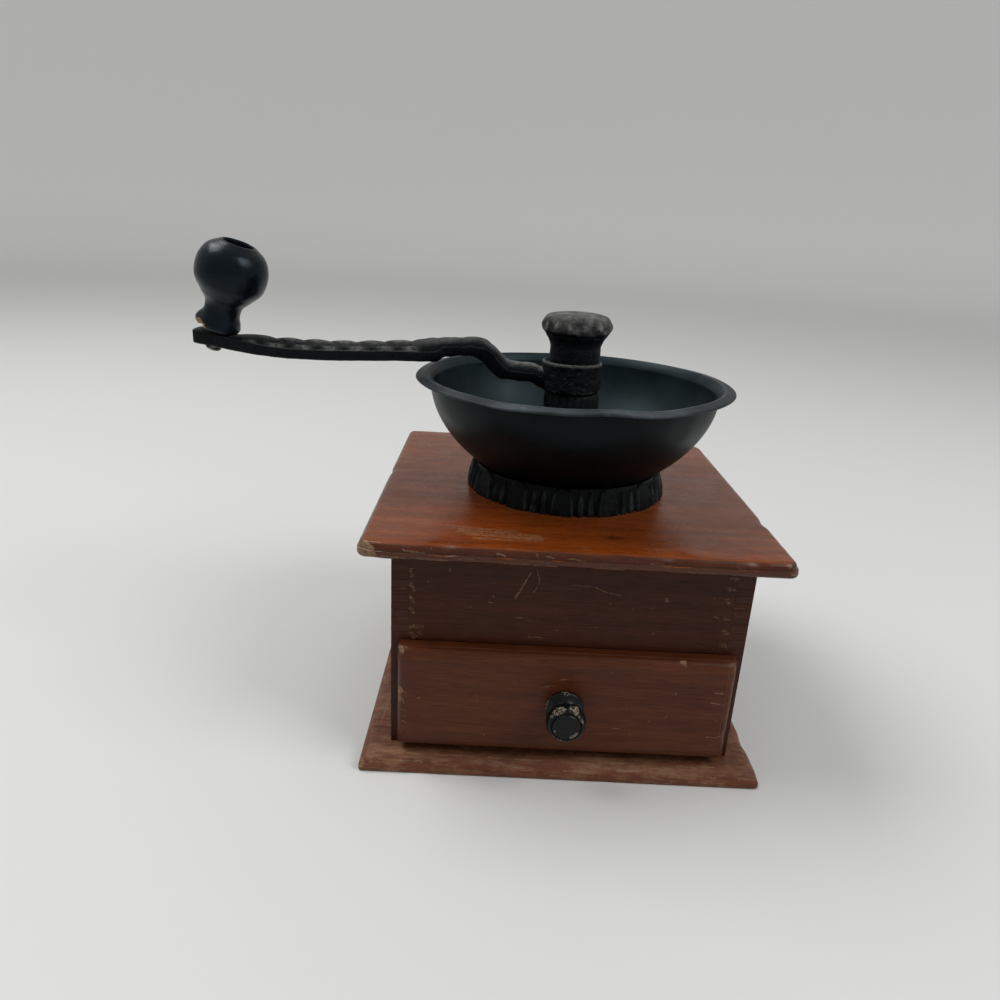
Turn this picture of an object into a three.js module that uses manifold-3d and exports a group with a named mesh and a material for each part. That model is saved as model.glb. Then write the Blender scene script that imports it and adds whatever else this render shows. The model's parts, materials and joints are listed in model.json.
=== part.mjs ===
// Box coffee mill: a comb-jointed wooden box with a drawer, an open bowl on a petalled
// collar, and a crank that turns a conical burr hung under the top board.
// Millimetres, +Z up. The origin is the centre of the base board's underside, the
// drawer opens towards -Y and the crank points to -X.
import * as THREE from 'three';
import { mergeVertices } from 'three/addons/utils/BufferGeometryUtils.js';
import Module from 'manifold-3d';

const wasm = await Module();
wasm.setup();

const fullTurn = Math.PI * 2;
const quarterTurn = Math.PI / 2;

// Clearances
const glueLine = 0.1; // between flat faces that are glued or clamped
const fit = 0.3; // round a piece in a seat that is cut for it
const runGap = 0.2; // round the spindle in its two bearings
const overrun = 1; // how far a cutter reaches past what it cuts
const weld = 0.0001; // vertices closer than this are one

// Base and top boards
const boardSide = 170;
const boardOverhang = 12.25; // past the box's walls
const baseThickness = 7;
const topThickness = 6.5;
const boardCorner = 4;
const boardRound = 3;
const boardStep = 0.4;
const boardUnderRound = 2.2;

// Box walls
const wallThickness = 7;
const panelThickness = 7;
const backThickness = 7;
const panelHeight = 40.5; // above the drawer
const panelFingerPairs = 6;
const backFingerPairs = 13;

// Drawer
const drawerFrontHeight = 47.5;
const drawerFrontInset = 3.25; // from the box's sides
const drawerFrontLift = 3;
const drawerFrontLap = 0.1; // over the panel's lower edge
const drawerFrontProud = 7.5;
const drawerFrontRound = 3;
const drawerFrontStep = 0.5;
const drawerFrontCorner = 1.5;
const drawerTongue = 6;
const drawerSideGap = 1;
const drawerHeadroom = 4.1;
const drawerBackGap = 6.5; // to the back wall
const drawerSideThickness = 6;
const drawerBackThickness = 6;
const drawerFloorThickness = 3;
const drawerFloorLift = 4;
const drawerGroove = 2.5;

// Drawer knob
const pullLength = 14.5;
const pullRadius = 8.2;
const pullFlangeRadius = 8;
const pullNeckRadius = 4.6;
const pullScrewGrip = 7.5;

// Mill housing under the top board
const barrelWall = 6.7; // round the outer burr
const housingFlangeWidth = 9;
const housingFlangeThickness = 3.8;
const housingChamfer = 1;
const burrLedge = 5; // width of the ledge over the outer burr
const bridgeSeatDepth = 6.2;
const ledgeThickness = 7.9;

// Burrs
const burrHeight = 20;
const burrFeedHeight = 6;
const burrFeedGap = 1; // from the inner cone's top up to the feed funnel
const outerBurrRim = 3.9; // metal left outside its mouth
const grindGapBottom = 1.5; // between the cones' radii
const grindGapTop = 0.8;
const outerBurrTeeth = 24;
const outerToothDepth = 0.8;
const innerBurrBottom = 18.6;
const innerBurrWaist = 14.6;
const innerBurrLift = 2;
const innerBurrShoulder = 3;
const innerBurrTeeth = 12;
const innerToothDepth = 1.8;
const innerToothTwist = 0.9;
const burrCollarHeight = 4;
const burrCollarStep = 0.9; // from the teeth's top in to the collar

// Spindle
const spindleRadius = 5.5;
const spindleTipRadius = 4;
const spindleTipLength = 7.7;
const spindleTail = 2; // below the lower bar
const keywayDrop = 6; // below the top of the post
const squareInset = 0.126; // of its corners, from the shaft's surface
const threadInset = 0.05; // from the square's flats
const threadSpare = 3.4; // bore left over above the thread
const keyWidth = 2.4;
const keyDepth = 1.4;
const drivePinRadius = 1.5;
const drivePinInset = 0.4; // of each end in the burr's collar

// Tension spring round the spindle
const springWire = 0.6;
const springGap = 1.1; // round the spindle
const springSeatMargin = 0.8;
const springCoils = 3.5;

// Bearing bridge in the throat, and the nut on its post
const bridgeRingWidth = 6.4;
const bridgeArms = 3;
const bridgeArmWidth = 5;
const postRadius = 8.5;
const postHeadRadius = 12;
const postHeadHeight = 5;
const postDrop = 17.5; // from the rim's crest down to the post's top
const washerRadius = 12.4;
const washerThickness = 1.5;
const nutRadius = 12.9;
const nutHeight = 8.6;
const nutRibs = 24;
const nutRibDepth = 0.5;

// Bar under the burrs
const barMargin = 2.35; // past the screws
const barWidth = 11;
const barThickness = 4;
const barEyeRadius = 8.5;

// Collar and bowl
const collarHeight = 11.5;
const collarFlare = 2.4; // from its top out to its foot
const collarFloor = 2.2;
const collarWall = 2;
const collarPetalPairs = 14;
const collarPetalDepth = 1.1;
const widePetalShare = 2 / 3;
const bowlRadius = 65.9;
const bowlFloorMargin = 0.67; // past its screws' heads
const bowlWallTop = 48; // the rim's foot above the collar's underside
const bowlRiseExponent = 1.896;
const bowlRoundExponent = 1.533;
const bowlSheet = 1.2;
const rimCrestWidth = 1; // from the rim's foot out to its crest
const rimCrestRise = 3.4;
const rimWidth = 6.8;
const rimDrop = 1.2;

// Crank
const crankReach = 171;
const armWidth = 12;
const armRise = 14.1;
const armCrown = 3.5;
const hubRadius = 13.4;
const hubHeight = 12.9;
const hubRound = 1;

// Cap nut
const capRadius = 15.2;
const capShankRadius = 11.6;
const capHeight = 21.7;
const capBosses = 14;
const capBossDepth = 0.7;
const capCrown = 5; // metal above the end of its bore

// Ball knob and its pin
const knobInset = 9.6; // of its axis from the arm's tip
const knobLean = THREE.MathUtils.degToRad(18.5);
const knobLeanToFront = THREE.MathUtils.degToRad(3);
const knobRadius = 15.5;
const knobHeight = 38.9;
const knobRecessRadius = 6.6;
const knobRecessDepth = 10;
const pinRadius = 2.9;
const pinHeadRadius = 5.4;
const pinHeadHeight = 2.2;
const pinPeenRadius = 3.4;
const pinPeenHeight = 1.5;
const pinSeatGap = 1.34; // from the arm down to the leaning peened head

// Screws
const screwRadius = 1.5;
const screwHeadRadius = 2.6;
const screwHeadHeight = 1.8;
const woodScrewTip = 3;
const machineScrewTip = 0.6;
const screwSides = 8;
const baseScrewHeadRadius = 3.8;
const baseScrewHeadHeight = 2.6;
const baseScrewLength = 26;
const baseScrewInset = 27.75; // from the box's front and back
const housingScrewCover = 1.3; // wood left above their tips
const bowlScrewLength = 16;
const bowlScrewInset = 2.8; // outside the throat
const barScrewLength = 13;

// Sizes that follow from those above
const boxHalf = boardSide / 2 - boardOverhang;
const innerHalf = boxHalf - wallThickness;
const screwHole = screwRadius + fit;
const innerBurrCone = burrHeight - burrFeedHeight - burrFeedGap - innerBurrLift;
const outerBurrMouth = innerBurrBottom + grindGapBottom;
const outerBurrThroat = innerBurrWaist + grindGapTop;
const outerBurrRadius = outerBurrMouth + outerBurrRim;
const throatRadius = outerBurrRadius - burrLedge;
const barrelRadius = outerBurrRadius + fit + barrelWall;
const housingFlangeRadius = barrelRadius + housingFlangeWidth;
const housingScrewLength = housingFlangeThickness + topThickness - housingScrewCover;
const springRadius = spindleRadius + springGap + springWire;
const burrCollarRadius = springRadius + springWire + springSeatMargin;
const innerBurrTop = burrCollarRadius + burrCollarStep;
const squareSide = (spindleRadius - squareInset) * Math.SQRT2;
const threadRadius = squareSide / 2 - threadInset;
const threadLength = capHeight - capCrown - threadSpare;
const bridgeRingRadius = throatRadius + bridgeRingWidth;
const barScrewReach = (outerBurrRadius + fit + barrelRadius) / 2;
const barLength = (barScrewReach + barMargin) * 2;
const bowlScrewCircle = throatRadius + bowlScrewInset;
const bowlFloorRadius = bowlScrewCircle + screwHeadRadius + bowlFloorMargin;
const pullScrewLength = drawerTongue + drawerFrontProud + pullScrewGrip;

// The arm's height at the knob, as shares of its rise
const knobSeatShare = 1.3;
const pinGripShare = 0.42;
const knobSeatGap = knobRadius * 0.12; // leaves room for the leaning foot's lower edge
const knobFootReach = crankReach - knobInset;
const knobFootRise = armRise * knobSeatShare + knobSeatGap;
const pinTail = knobSeatGap + armRise * pinGripShare + pinPeenHeight + pinSeatGap;

// Levels, from the floor up
const wallBottom = baseThickness + glueLine;
const openingTop = baseThickness + drawerFrontLift + drawerFrontHeight - drawerFrontLap;
const wallTop = openingTop + panelHeight;
const topBottom = wallTop + glueLine;
const topFace = topBottom + topThickness;
const collarBottom = topFace + glueLine;
const bowlFloor = collarBottom + collarFloor + glueLine;
const rimFoot = collarBottom + bowlWallTop;
const rimCrest = rimFoot + rimCrestRise;
const barrelTop = topFace - fit;
const ledgeTop = barrelTop - bridgeSeatDepth;
const ledgeBottom = ledgeTop - ledgeThickness;
const bridgeBottom = ledgeTop + glueLine;
const burrBottom = ledgeBottom - glueLine - burrHeight; // level with the barrel's
const innerBurrBottomLevel = burrBottom + innerBurrLift;
const innerBurrTopLevel = innerBurrBottomLevel + innerBurrCone + innerBurrShoulder
  + burrCollarHeight;
const postTop = rimCrest - postDrop;
const postHeight = postTop - bridgeBottom;
const washerBottom = postTop + fit;
const nutBottom = washerBottom + washerThickness + fit;
const hubBottom = nutBottom + nutHeight + fit;
const capBottom = hubBottom + hubHeight + fit;
const barBottom = burrBottom - glueLine - barThickness;

// The bowl's outer wall is a superellipse from its floor's edge up to the rim's foot.
const bowlWallHeight = rimFoot - bowlFloor;
const bowlStart = Math.asin((bowlFloorRadius / bowlRadius) ** (bowlRoundExponent / 2));
const bowlDepth = bowlWallHeight / Math.cos(bowlStart) ** (2 / bowlRiseExponent);
const bowlPoint = (angle) => [
  bowlRadius * Math.sin(angle) ** (2 / bowlRoundExponent),
  bowlWallHeight - bowlDepth * Math.cos(angle) ** (2 / bowlRiseExponent),
];
const bowlAngleAt = (height) => Math.acos(
  ((bowlWallHeight - height) / bowlDepth) ** (bowlRiseExponent / 2));

// The collar's lip closes round the bowl.
const collarInside = bowlPoint(bowlAngleAt(collarBottom + collarHeight - bowlFloor))[0] + fit;
const collarTopRadius = collarInside + collarWall;
const collarRadius = collarTopRadius + collarFlare;

const wood = (color) => new THREE.MeshStandardMaterial(
  { color, roughness: 0.55, metalness: 0, flatShading: true });
const metal = (color, roughness) => new THREE.MeshStandardMaterial(
  { color, roughness, metalness: 0.9, flatShading: true });
const finish = {
  boards: wood(0x7a4630),
  walls: wood(0x4c2c22),
  drawerFront: wood(0x6b3a28),
  drawerInside: wood(0xb08a60),
  paintedWood: wood(0x15171c),
  castIron: metal(0x24262a, 0.7),
  spunMetal: metal(0x3a3f44, 0.45),
  steel: metal(0x9a9a98, 0.35),
};

const part = new THREE.Group();

// Put a named piece in the part at its place.
function add(name, geometry, material, x = 0, y = 0, z = 0, parent = part) {
  const mesh = new THREE.Mesh(geometry, material);
  mesh.name = name;
  mesh.position.set(x, y, z);
  parent.add(mesh);
  return mesh;
}

// One closed body: shared vertices merged, empty triangles dropped, faces outward.
function closed(geometry) {
  const bare = geometry.clone();
  bare.deleteAttribute('normal');
  bare.deleteAttribute('uv');
  const merged = mergeVertices(bare, weld);
  const corner = (i) => new THREE.Vector3().fromBufferAttribute(merged.attributes.position, i);
  const index = [];
  let volume = 0;
  for (let i = 0; i < merged.index.count; i += 3) {
    const [a, b, c] = merged.index.array.slice(i, i + 3);
    if (a === b || b === c || c === a) continue;
    index.push(a, b, c);
    volume += corner(a).dot(corner(b).cross(corner(c)));
  }
  if (volume < 0) index.reverse();
  merged.setIndex(index);
  merged.computeVertexNormals();
  return merged;
}

// A geometry as a solid that can be joined and cut, and back again.
function solid(geometry) {
  const body = closed(geometry);
  return new wasm.Manifold(new wasm.Mesh({
    numProp: 3,
    vertProperties: new Float32Array(body.attributes.position.array),
    triVerts: new Uint32Array(body.index.array),
  }));
}

function surface(body) {
  const mesh = body.getMesh();
  const geometry = new THREE.BufferGeometry();
  geometry.setAttribute('position', new THREE.BufferAttribute(mesh.vertProperties, mesh.numProp));
  geometry.setIndex(new THREE.BufferAttribute(mesh.triVerts, 1));
  geometry.computeVertexNormals();
  return geometry;
}

const join = (first, ...others) => surface(
  others.reduce((body, other) => body.add(solid(other)), solid(first)));
const cut = (first, ...cutters) => surface(
  cutters.reduce((body, cutter) => body.subtract(solid(cutter)), solid(first)));

// A block and a rod, both standing on the plane z = 0.
const block = (x, y, z) => new THREE.BoxGeometry(x, y, z).translate(0, 0, z / 2);
const rod = (radius, length, sides = 24) => new THREE.CylinderGeometry(
  radius, radius, length, sides).rotateX(quarterTurn).translate(0, 0, length / 2);

// A body turned about Z from [radius, height] points that close on the axis or on
// themselves. `ripple` gives a vertex another radius from its angle, height and radius.
function turned(profile, sides, ripple = null) {
  const points = profile.map(([radius, height]) => new THREE.Vector2(radius, height));
  const geometry = new THREE.LatheGeometry(points, sides).rotateX(quarterTurn);
  if (ripple) {
    const place = geometry.attributes.position;
    for (let i = 0; i < place.count; i += 1) {
      const angle = Math.atan2(place.getY(i), place.getX(i));
      const radius = Math.hypot(place.getX(i), place.getY(i));
      const moved = ripple(angle, place.getZ(i), radius);
      place.setXY(i, moved * Math.cos(angle), moved * Math.sin(angle));
    }
  }
  return closed(geometry);
}

// A ring shape's profile, closed on itself.
const ringProfile = (points) => [...points, points[0]];

// A body through rings of equal count, each a list of [x, y, z], with flat ends.
function loft(rings) {
  const count = rings[0].length;
  const place = rings.flat(2);
  const index = [];
  for (let ring = 0; ring < rings.length - 1; ring += 1) {
    for (let i = 0; i < count; i += 1) {
      const a = ring * count + i;
      const b = ring * count + ((i + 1) % count);
      index.push(a, b, b + count, a, b + count, a + count);
    }
  }
  [0, rings.length - 1].forEach((ring) => {
    const centre = place.length / 3;
    for (let axis = 0; axis < 3; axis += 1) {
      place.push(rings[ring].reduce((sum, point) => sum + point[axis], 0) / count);
    }
    for (let i = 0; i < count; i += 1) {
      const pair = [ring * count + i, ring * count + ((i + 1) % count)];
      index.push(centre, ...(ring === 0 ? pair.reverse() : pair));
    }
  });
  const geometry = new THREE.BufferGeometry();
  geometry.setAttribute('position', new THREE.Float32BufferAttribute(place, 3));
  geometry.setIndex(index);
  return closed(geometry);
}

// A flat outline of [u, v] points, and the same with thickness from z = 0.
const outline = (points) => new THREE.Shape(points.map(([u, v]) => new THREE.Vector2(u, v)));
const slab = (shape, thickness, curveSegments = 12) => new THREE.ExtrudeGeometry(
  shape, { depth: thickness, bevelEnabled: false, curveSegments });

// Stand a slab up: its u runs along X, its v along Z and its thickness towards -Y.
const facingFront = (geometry) => geometry.rotateX(quarterTurn);
// Its u runs along Y, its v along Z and its thickness towards +X.
const facingSide = (geometry) => geometry.applyMatrix4(new THREE.Matrix4().makeBasis(
  new THREE.Vector3(0, 1, 0), new THREE.Vector3(0, 0, 1), new THREE.Vector3(1, 0, 0)));

// A quarter round as [inset, height] steps, starting or ending on the upright edge.
function quarterRound(radius, height, steps, over) {
  return Array.from({ length: steps + 1 }, (_, i) => {
    const angle = quarterTurn * (i / steps);
    return over
      ? [radius * (1 - Math.cos(angle)), height - radius + radius * Math.sin(angle)]
      : [radius * (1 - Math.sin(angle)), height + radius * (1 - Math.cos(angle))];
  });
}

// A rectangle with rounded corners, drawn in by `inset`, at one height.
function roundedRing(width, depth, corner, inset, height) {
  const radius = Math.max(corner - inset, corner / 4);
  const steps = 3;
  const ring = [];
  for (let quarter = 0; quarter < 4; quarter += 1) {
    for (let i = 0; i <= steps; i += 1) {
      const angle = quarterTurn * (quarter + i / steps);
      const signX = quarter === 0 || quarter === 3 ? 1 : -1;
      const signY = quarter < 2 ? 1 : -1;
      ring.push([
        signX * (width / 2 - inset - radius) + radius * Math.cos(angle),
        signY * (depth / 2 - inset - radius) + radius * Math.sin(angle),
        height,
      ]);
    }
  }
  return ring;
}

const moulding = (width, depth, corner, edge) => loft(
  edge.map(([inset, height]) => roundedRing(width, depth, corner, inset, height)));

// Base and top boards share one moulded edge: rounded below, an upright land, a small
// step and a larger round above.
function board(thickness) {
  const over = quarterRound(boardRound, thickness, 4, true)
    .map(([inset, height]) => [inset + boardStep, height]);
  return moulding(boardSide, boardSide, boardCorner, [
    ...quarterRound(boardUnderRound, 0, 3, false),
    [0, thickness - boardRound],
    ...over,
  ]);
}

// A screw with its head's underside at z = 0 and its shank pointing to -Z. A wood
// screw's tip is long and a machine screw's is short.
const screw = (length, tip) => turned([
  [0, -length],
  [screwRadius, tip - length],
  [screwRadius, 0],
  [screwHeadRadius, 0],
  [screwHeadRadius, screwHeadHeight / 2],
  [screwHeadRadius * 0.7, screwHeadHeight],
  [0, screwHeadHeight],
], screwSides);

// Positions round a circle, the first one at `start` of a turn.
const around = (count, radius, start = 0) => Array.from({ length: count }, (_, i) => {
  const angle = fullTurn * (start + i / count);
  return [radius * Math.cos(angle), radius * Math.sin(angle)];
});

const housingScrewPlaces = around(4, (barrelRadius + housingFlangeRadius) / 2, 1 / 8);
const bowlScrewPlaces = around(bridgeArms, bowlScrewCircle, 1 / 12);
const baseScrewX = boxHalf - wallThickness / 2;
const baseScrewPlaces = [[-1, -1], [1, -1], [1, 1], [-1, 1]]
  .map(([x, y]) => [x * baseScrewX, y * (boxHalf - baseScrewInset)]);

// Base board with countersunk holes for the screws into the side walls
function addBase() {
  const holes = baseScrewPlaces.map(([x, y]) => turned([
    [0, -overrun],
    [baseScrewHeadRadius + fit, -overrun],
    [baseScrewHeadRadius + fit, fit],
    [screwHole, baseScrewHeadHeight + fit],
    [screwHole, baseThickness + overrun],
    [0, baseThickness + overrun],
  ], screwSides).translate(x, y, 0));
  add('base_board', cut(board(baseThickness), ...holes), finish.boards);

  const baseScrew = turned([
    [0, baseScrewLength],
    [screwRadius, baseScrewLength - woodScrewTip],
    [screwRadius, baseScrewHeadHeight],
    [baseScrewHeadRadius, 0],
    [0, 0],
  ], screwSides);
  baseScrewPlaces.forEach(([x, y], i) => {
    add(`base_screw_${i + 1}`, baseScrew, finish.steel, x, y, fit);
  });
}

// Top board with the mill's hole and blind holes for the housing screws
function addTop() {
  const millHole = rod(barrelRadius + fit, topThickness + overrun * 2, 32);
  const screwHoles = housingScrewPlaces.map(([x, y]) => rod(
    screwHole, overrun + housingScrewLength - housingFlangeThickness + fit, screwSides)
    .translate(x, y, -overrun));
  const geometry = cut(board(topThickness), millHole.translate(0, 0, -overrun), ...screwHoles);
  add('top_board', geometry, finish.boards, 0, 0, topBottom);
}

// Points up a comb-jointed edge. Fingers reach `outer` and notches end at `inner`; the
// piece whose phase is 0 starts with a finger and its mate, phase 1, with a notch.
function comb(bottom, top, pairs, phase, outer, inner) {
  const finger = (top - bottom) / (pairs * 2);
  const points = [];
  for (let i = 0; i < pairs * 2; i += 1) {
    const reaches = i % 2 === phase;
    const trim = (reaches ? 1 : -1) * glueLine / 2;
    const low = i === 0 ? bottom : bottom + i * finger + trim;
    const high = i === pairs * 2 - 1 ? top : bottom + (i + 1) * finger - trim;
    points.push([reaches ? outer : inner, low], [reaches ? outer : inner, high]);
  }
  return points;
}

const mirrored = (points) => points.map(([u, v]) => [-u, v]).reverse();

// Side walls: the front edge is plain beside the drawer and combed beside the panel
function addSideWalls() {
  const frontNotch = -boxHalf + panelThickness + glueLine;
  const backNotch = boxHalf - backThickness - glueLine;
  const front = comb(openingTop, wallTop, panelFingerPairs, 1, -boxHalf, frontNotch);
  front[0][1] -= glueLine;
  const shape = outline([
    [-boxHalf, wallBottom],
    [-boxHalf, openingTop - glueLine],
    ...front,
    ...comb(wallBottom, wallTop, backFingerPairs, 0, boxHalf, backNotch).reverse(),
  ]);
  const bores = (x) => baseScrewPlaces.filter(([place]) => place * x > 0).map(([px, py]) => rod(
    screwHole, overrun + baseScrewLength + fit * 2 - wallBottom, screwSides)
    .translate(px, py, wallBottom - overrun));
  const wall = facingSide(slab(shape, wallThickness));
  const left = wall.clone().translate(-boxHalf, 0, 0);
  const right = wall.clone().translate(innerHalf, 0, 0);
  add('left_wall', cut(left, ...bores(-1)), finish.walls);
  add('right_wall', cut(right, ...bores(1)), finish.walls);
}

// Front panel above the drawer, and the full back wall
function addFrontAndBack() {
  const notch = innerHalf - glueLine;
  const panelEdge = comb(openingTop, wallTop, panelFingerPairs, 0, boxHalf, notch);
  const panel = outline([...mirrored(panelEdge).reverse(), ...panelEdge.reverse()]);
  add('front_panel', closed(facingFront(slab(panel, panelThickness))), finish.walls,
    0, panelThickness - boxHalf, 0);

  const backEdge = comb(wallBottom, wallTop, backFingerPairs, 1, boxHalf, notch);
  const back = outline([...mirrored(backEdge).reverse(), ...backEdge.reverse()]);
  add('back_wall', closed(facingFront(slab(back, backThickness))), finish.walls, 0, boxHalf, 0);
}

// Places inside the drawer, shared by its pieces
const drawer = {
  half: innerHalf - drawerSideGap,
  bottom: baseThickness + fit,
  frontBack: -boxHalf - fit,
  back: boxHalf - backThickness - drawerBackGap,
};
drawer.inner = drawer.half - drawerSideThickness;
drawer.top = openingTop - drawerHeadroom;
drawer.tongueBack = drawer.frontBack + drawerTongue;
drawer.floor = drawer.bottom + drawerFloorLift;
drawer.floorTop = drawer.floor + drawerFloorThickness;
drawer.face = drawer.frontBack - drawerFrontProud;
drawer.frontBottom = baseThickness + drawerFrontLift;
drawer.pullHeight = drawer.frontBottom + drawerFrontHeight / 2;

// Drawer front: a raised face with a stepped, rounded edge and a tongue behind it
function addDrawerFront() {
  const edge = [
    [0, 0],
    ...quarterRound(drawerFrontRound, drawerFrontProud - drawerFrontStep, 4, true),
    [drawerFrontRound, drawerFrontProud],
  ];
  const width = (boxHalf - drawerFrontInset) * 2;
  const face = facingFront(moulding(width, drawerFrontHeight, drawerFrontCorner, edge))
    .translate(0, drawer.frontBack, drawer.pullHeight);
  const tongue = block(
    (drawer.inner - glueLine) * 2, drawerTongue + glueLine, drawer.top - drawer.bottom)
    .translate(0, drawer.frontBack + (drawerTongue - glueLine) / 2, drawer.bottom);
  const groove = block(drawer.half * 2, drawerGroove + overrun, drawerFloorThickness + glueLine * 2)
    .translate(0, drawer.tongueBack + (overrun - drawerGroove) / 2, drawer.floor - glueLine);
  const bore = facingFront(rod(screwHole, drawerTongue + drawerFrontProud + overrun * 2, screwSides))
    .translate(0, drawer.tongueBack + overrun, drawer.pullHeight);
  add('drawer_front', cut(join(face, tongue), groove, bore), finish.drawerFront);
}

// Drawer sides with a groove for the bottom, and the back that stands on the bottom
function addDrawerBox() {
  const sideFront = drawer.frontBack + glueLine;
  const grooveEnd = drawer.inner + drawerGroove;
  const side = outline([
    [drawer.inner, drawer.bottom],
    [drawer.half, drawer.bottom],
    [drawer.half, drawer.top],
    [drawer.inner, drawer.top],
    [drawer.inner, drawer.floorTop + glueLine],
    [grooveEnd, drawer.floorTop + glueLine],
    [grooveEnd, drawer.floor - glueLine],
    [drawer.inner, drawer.floor - glueLine],
  ]);
  const right = closed(facingFront(slab(side, drawer.back - sideFront)));
  const left = closed(right.clone().scale(-1, 1, 1));
  add('drawer_right_side', right, finish.drawerInside, 0, drawer.back, 0);
  add('drawer_left_side', left, finish.drawerInside, 0, drawer.back, 0);

  const backHeight = drawer.top - drawer.floorTop - glueLine;
  add('drawer_back', block((drawer.inner - glueLine) * 2, drawerBackThickness, backHeight),
    finish.drawerInside, 0, drawer.back - drawerBackThickness / 2, drawer.floorTop + glueLine);

  const floorFront = drawer.tongueBack - drawerGroove + glueLine;
  add('drawer_bottom', block(
    (grooveEnd - glueLine) * 2, drawer.back - floorFront, drawerFloorThickness),
  finish.drawerInside, 0, (drawer.back + floorFront) / 2, drawer.floor);
}

// Turned drawer knob, as shares of its radius and length from the drawer's face
function addPull() {
  const boreDepth = pullScrewGrip + overrun;
  const headShares = [[0.8, 0.5], [0.98, 0.62], [1, 0.74], [0.9, 0.9], [0.74, 0.97]];
  const discShares = [[0.7, 0.93], [0.66, 1]];
  const share = ([radius, length]) => [radius * pullRadius, length * pullLength];
  const profile = [
    [0, boreDepth],
    [screwHole, boreDepth],
    [screwHole, 0],
    [pullFlangeRadius * 0.9, 0],
    [pullFlangeRadius, pullLength * 0.05],
    [pullFlangeRadius, pullLength * 0.12],
    [pullFlangeRadius * 0.75, pullLength * 0.19],
    [pullNeckRadius, pullLength * 0.28],
    [pullNeckRadius, pullLength * 0.4],
    ...headShares.map(share),
    ...discShares.map(share),
    [0, pullLength],
  ];
  add('drawer_knob', facingFront(turned(profile, 16)), finish.paintedWood,
    0, drawer.face - glueLine, drawer.pullHeight);
  add('drawer_knob_screw', screw(pullScrewLength, machineScrewTip).rotateX(-quarterTurn), finish.steel,
    0, drawer.tongueBack + glueLine, drawer.pullHeight);
}

// Cast housing: a barrel through the top board with a flange under it, a ledge inside
// that carries the bridge above and stops the outer burr below
function addHousing() {
  const flangeTop = topBottom - glueLine;
  const flangeBottom = flangeTop - housingFlangeThickness;
  const bridgeSeat = bridgeRingRadius + fit;
  const burrSeat = outerBurrRadius + fit;
  const barrel = turned(ringProfile([
    [throatRadius, ledgeTop],
    [bridgeSeat, ledgeTop],
    [bridgeSeat, barrelTop],
    [barrelRadius, barrelTop],
    [barrelRadius, flangeTop],
    [housingFlangeRadius, flangeTop],
    [housingFlangeRadius, flangeBottom + housingChamfer],
    [housingFlangeRadius - housingChamfer, flangeBottom],
    [barrelRadius + housingChamfer, flangeBottom],
    [barrelRadius, flangeBottom - housingChamfer],
    [barrelRadius, burrBottom],
    [burrSeat, burrBottom],
    [burrSeat, ledgeBottom],
    [throatRadius, ledgeBottom],
  ]), 28);
  const flangeHoles = housingScrewPlaces.map(([x, y]) => rod(
    screwHole, housingFlangeThickness + overrun * 2, screwSides)
    .translate(x, y, flangeBottom - overrun));
  const bowlHoleDepth = bowlScrewLength + fit - (bowlFloor + bowlSheet - ledgeTop);
  const bowlHoles = bowlScrewPlaces.map(([x, y]) => rod(
    screwHole, bowlHoleDepth + overrun, screwSides).translate(x, y, ledgeTop - bowlHoleDepth));
  const barDepth = barScrewLength + fit - barThickness;
  const barHoles = [-1, 1].map((side) => rod(screwHole, barDepth + overrun, screwSides)
    .translate(side * barScrewReach, 0, burrBottom - overrun));
  add('mill_housing', cut(barrel, ...flangeHoles, ...bowlHoles, ...barHoles), finish.castIron);

  housingScrewPlaces.forEach(([x, y], i) => {
    const mesh = add(`housing_screw_${i + 1}`, screw(housingScrewLength, woodScrewTip), finish.steel,
      x, y, flangeBottom - glueLine);
    mesh.rotation.x = Math.PI;
  });
}

// Outer burr: a feed funnel above and a toothed cone that widens downwards
function addOuterBurr() {
  const funnelFoot = burrHeight - burrFeedHeight;
  const steps = 3;
  const cone = Array.from({ length: steps + 1 }, (_, i) => [
    THREE.MathUtils.lerp(outerBurrMouth, outerBurrThroat, i / steps), funnelFoot * (i / steps),
  ]);
  const profile = ringProfile([
    ...cone,
    [(outerBurrThroat + throatRadius) / 2, burrHeight - burrFeedHeight / 2],
    [throatRadius, burrHeight],
    [outerBurrRadius, burrHeight],
    [outerBurrRadius, 0],
  ]);
  const tooth = (angle, height, radius) => {
    const inside = radius < outerBurrRadius - outerToothDepth * 2;
    const groove = 0.5 - 0.5 * Math.cos(angle * outerBurrTeeth);
    return inside && height < burrHeight ? radius + outerToothDepth * groove : radius;
  };
  add('outer_burr', turned(profile, outerBurrTeeth * 2, tooth), finish.steel, 0, 0, burrBottom);
}

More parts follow.
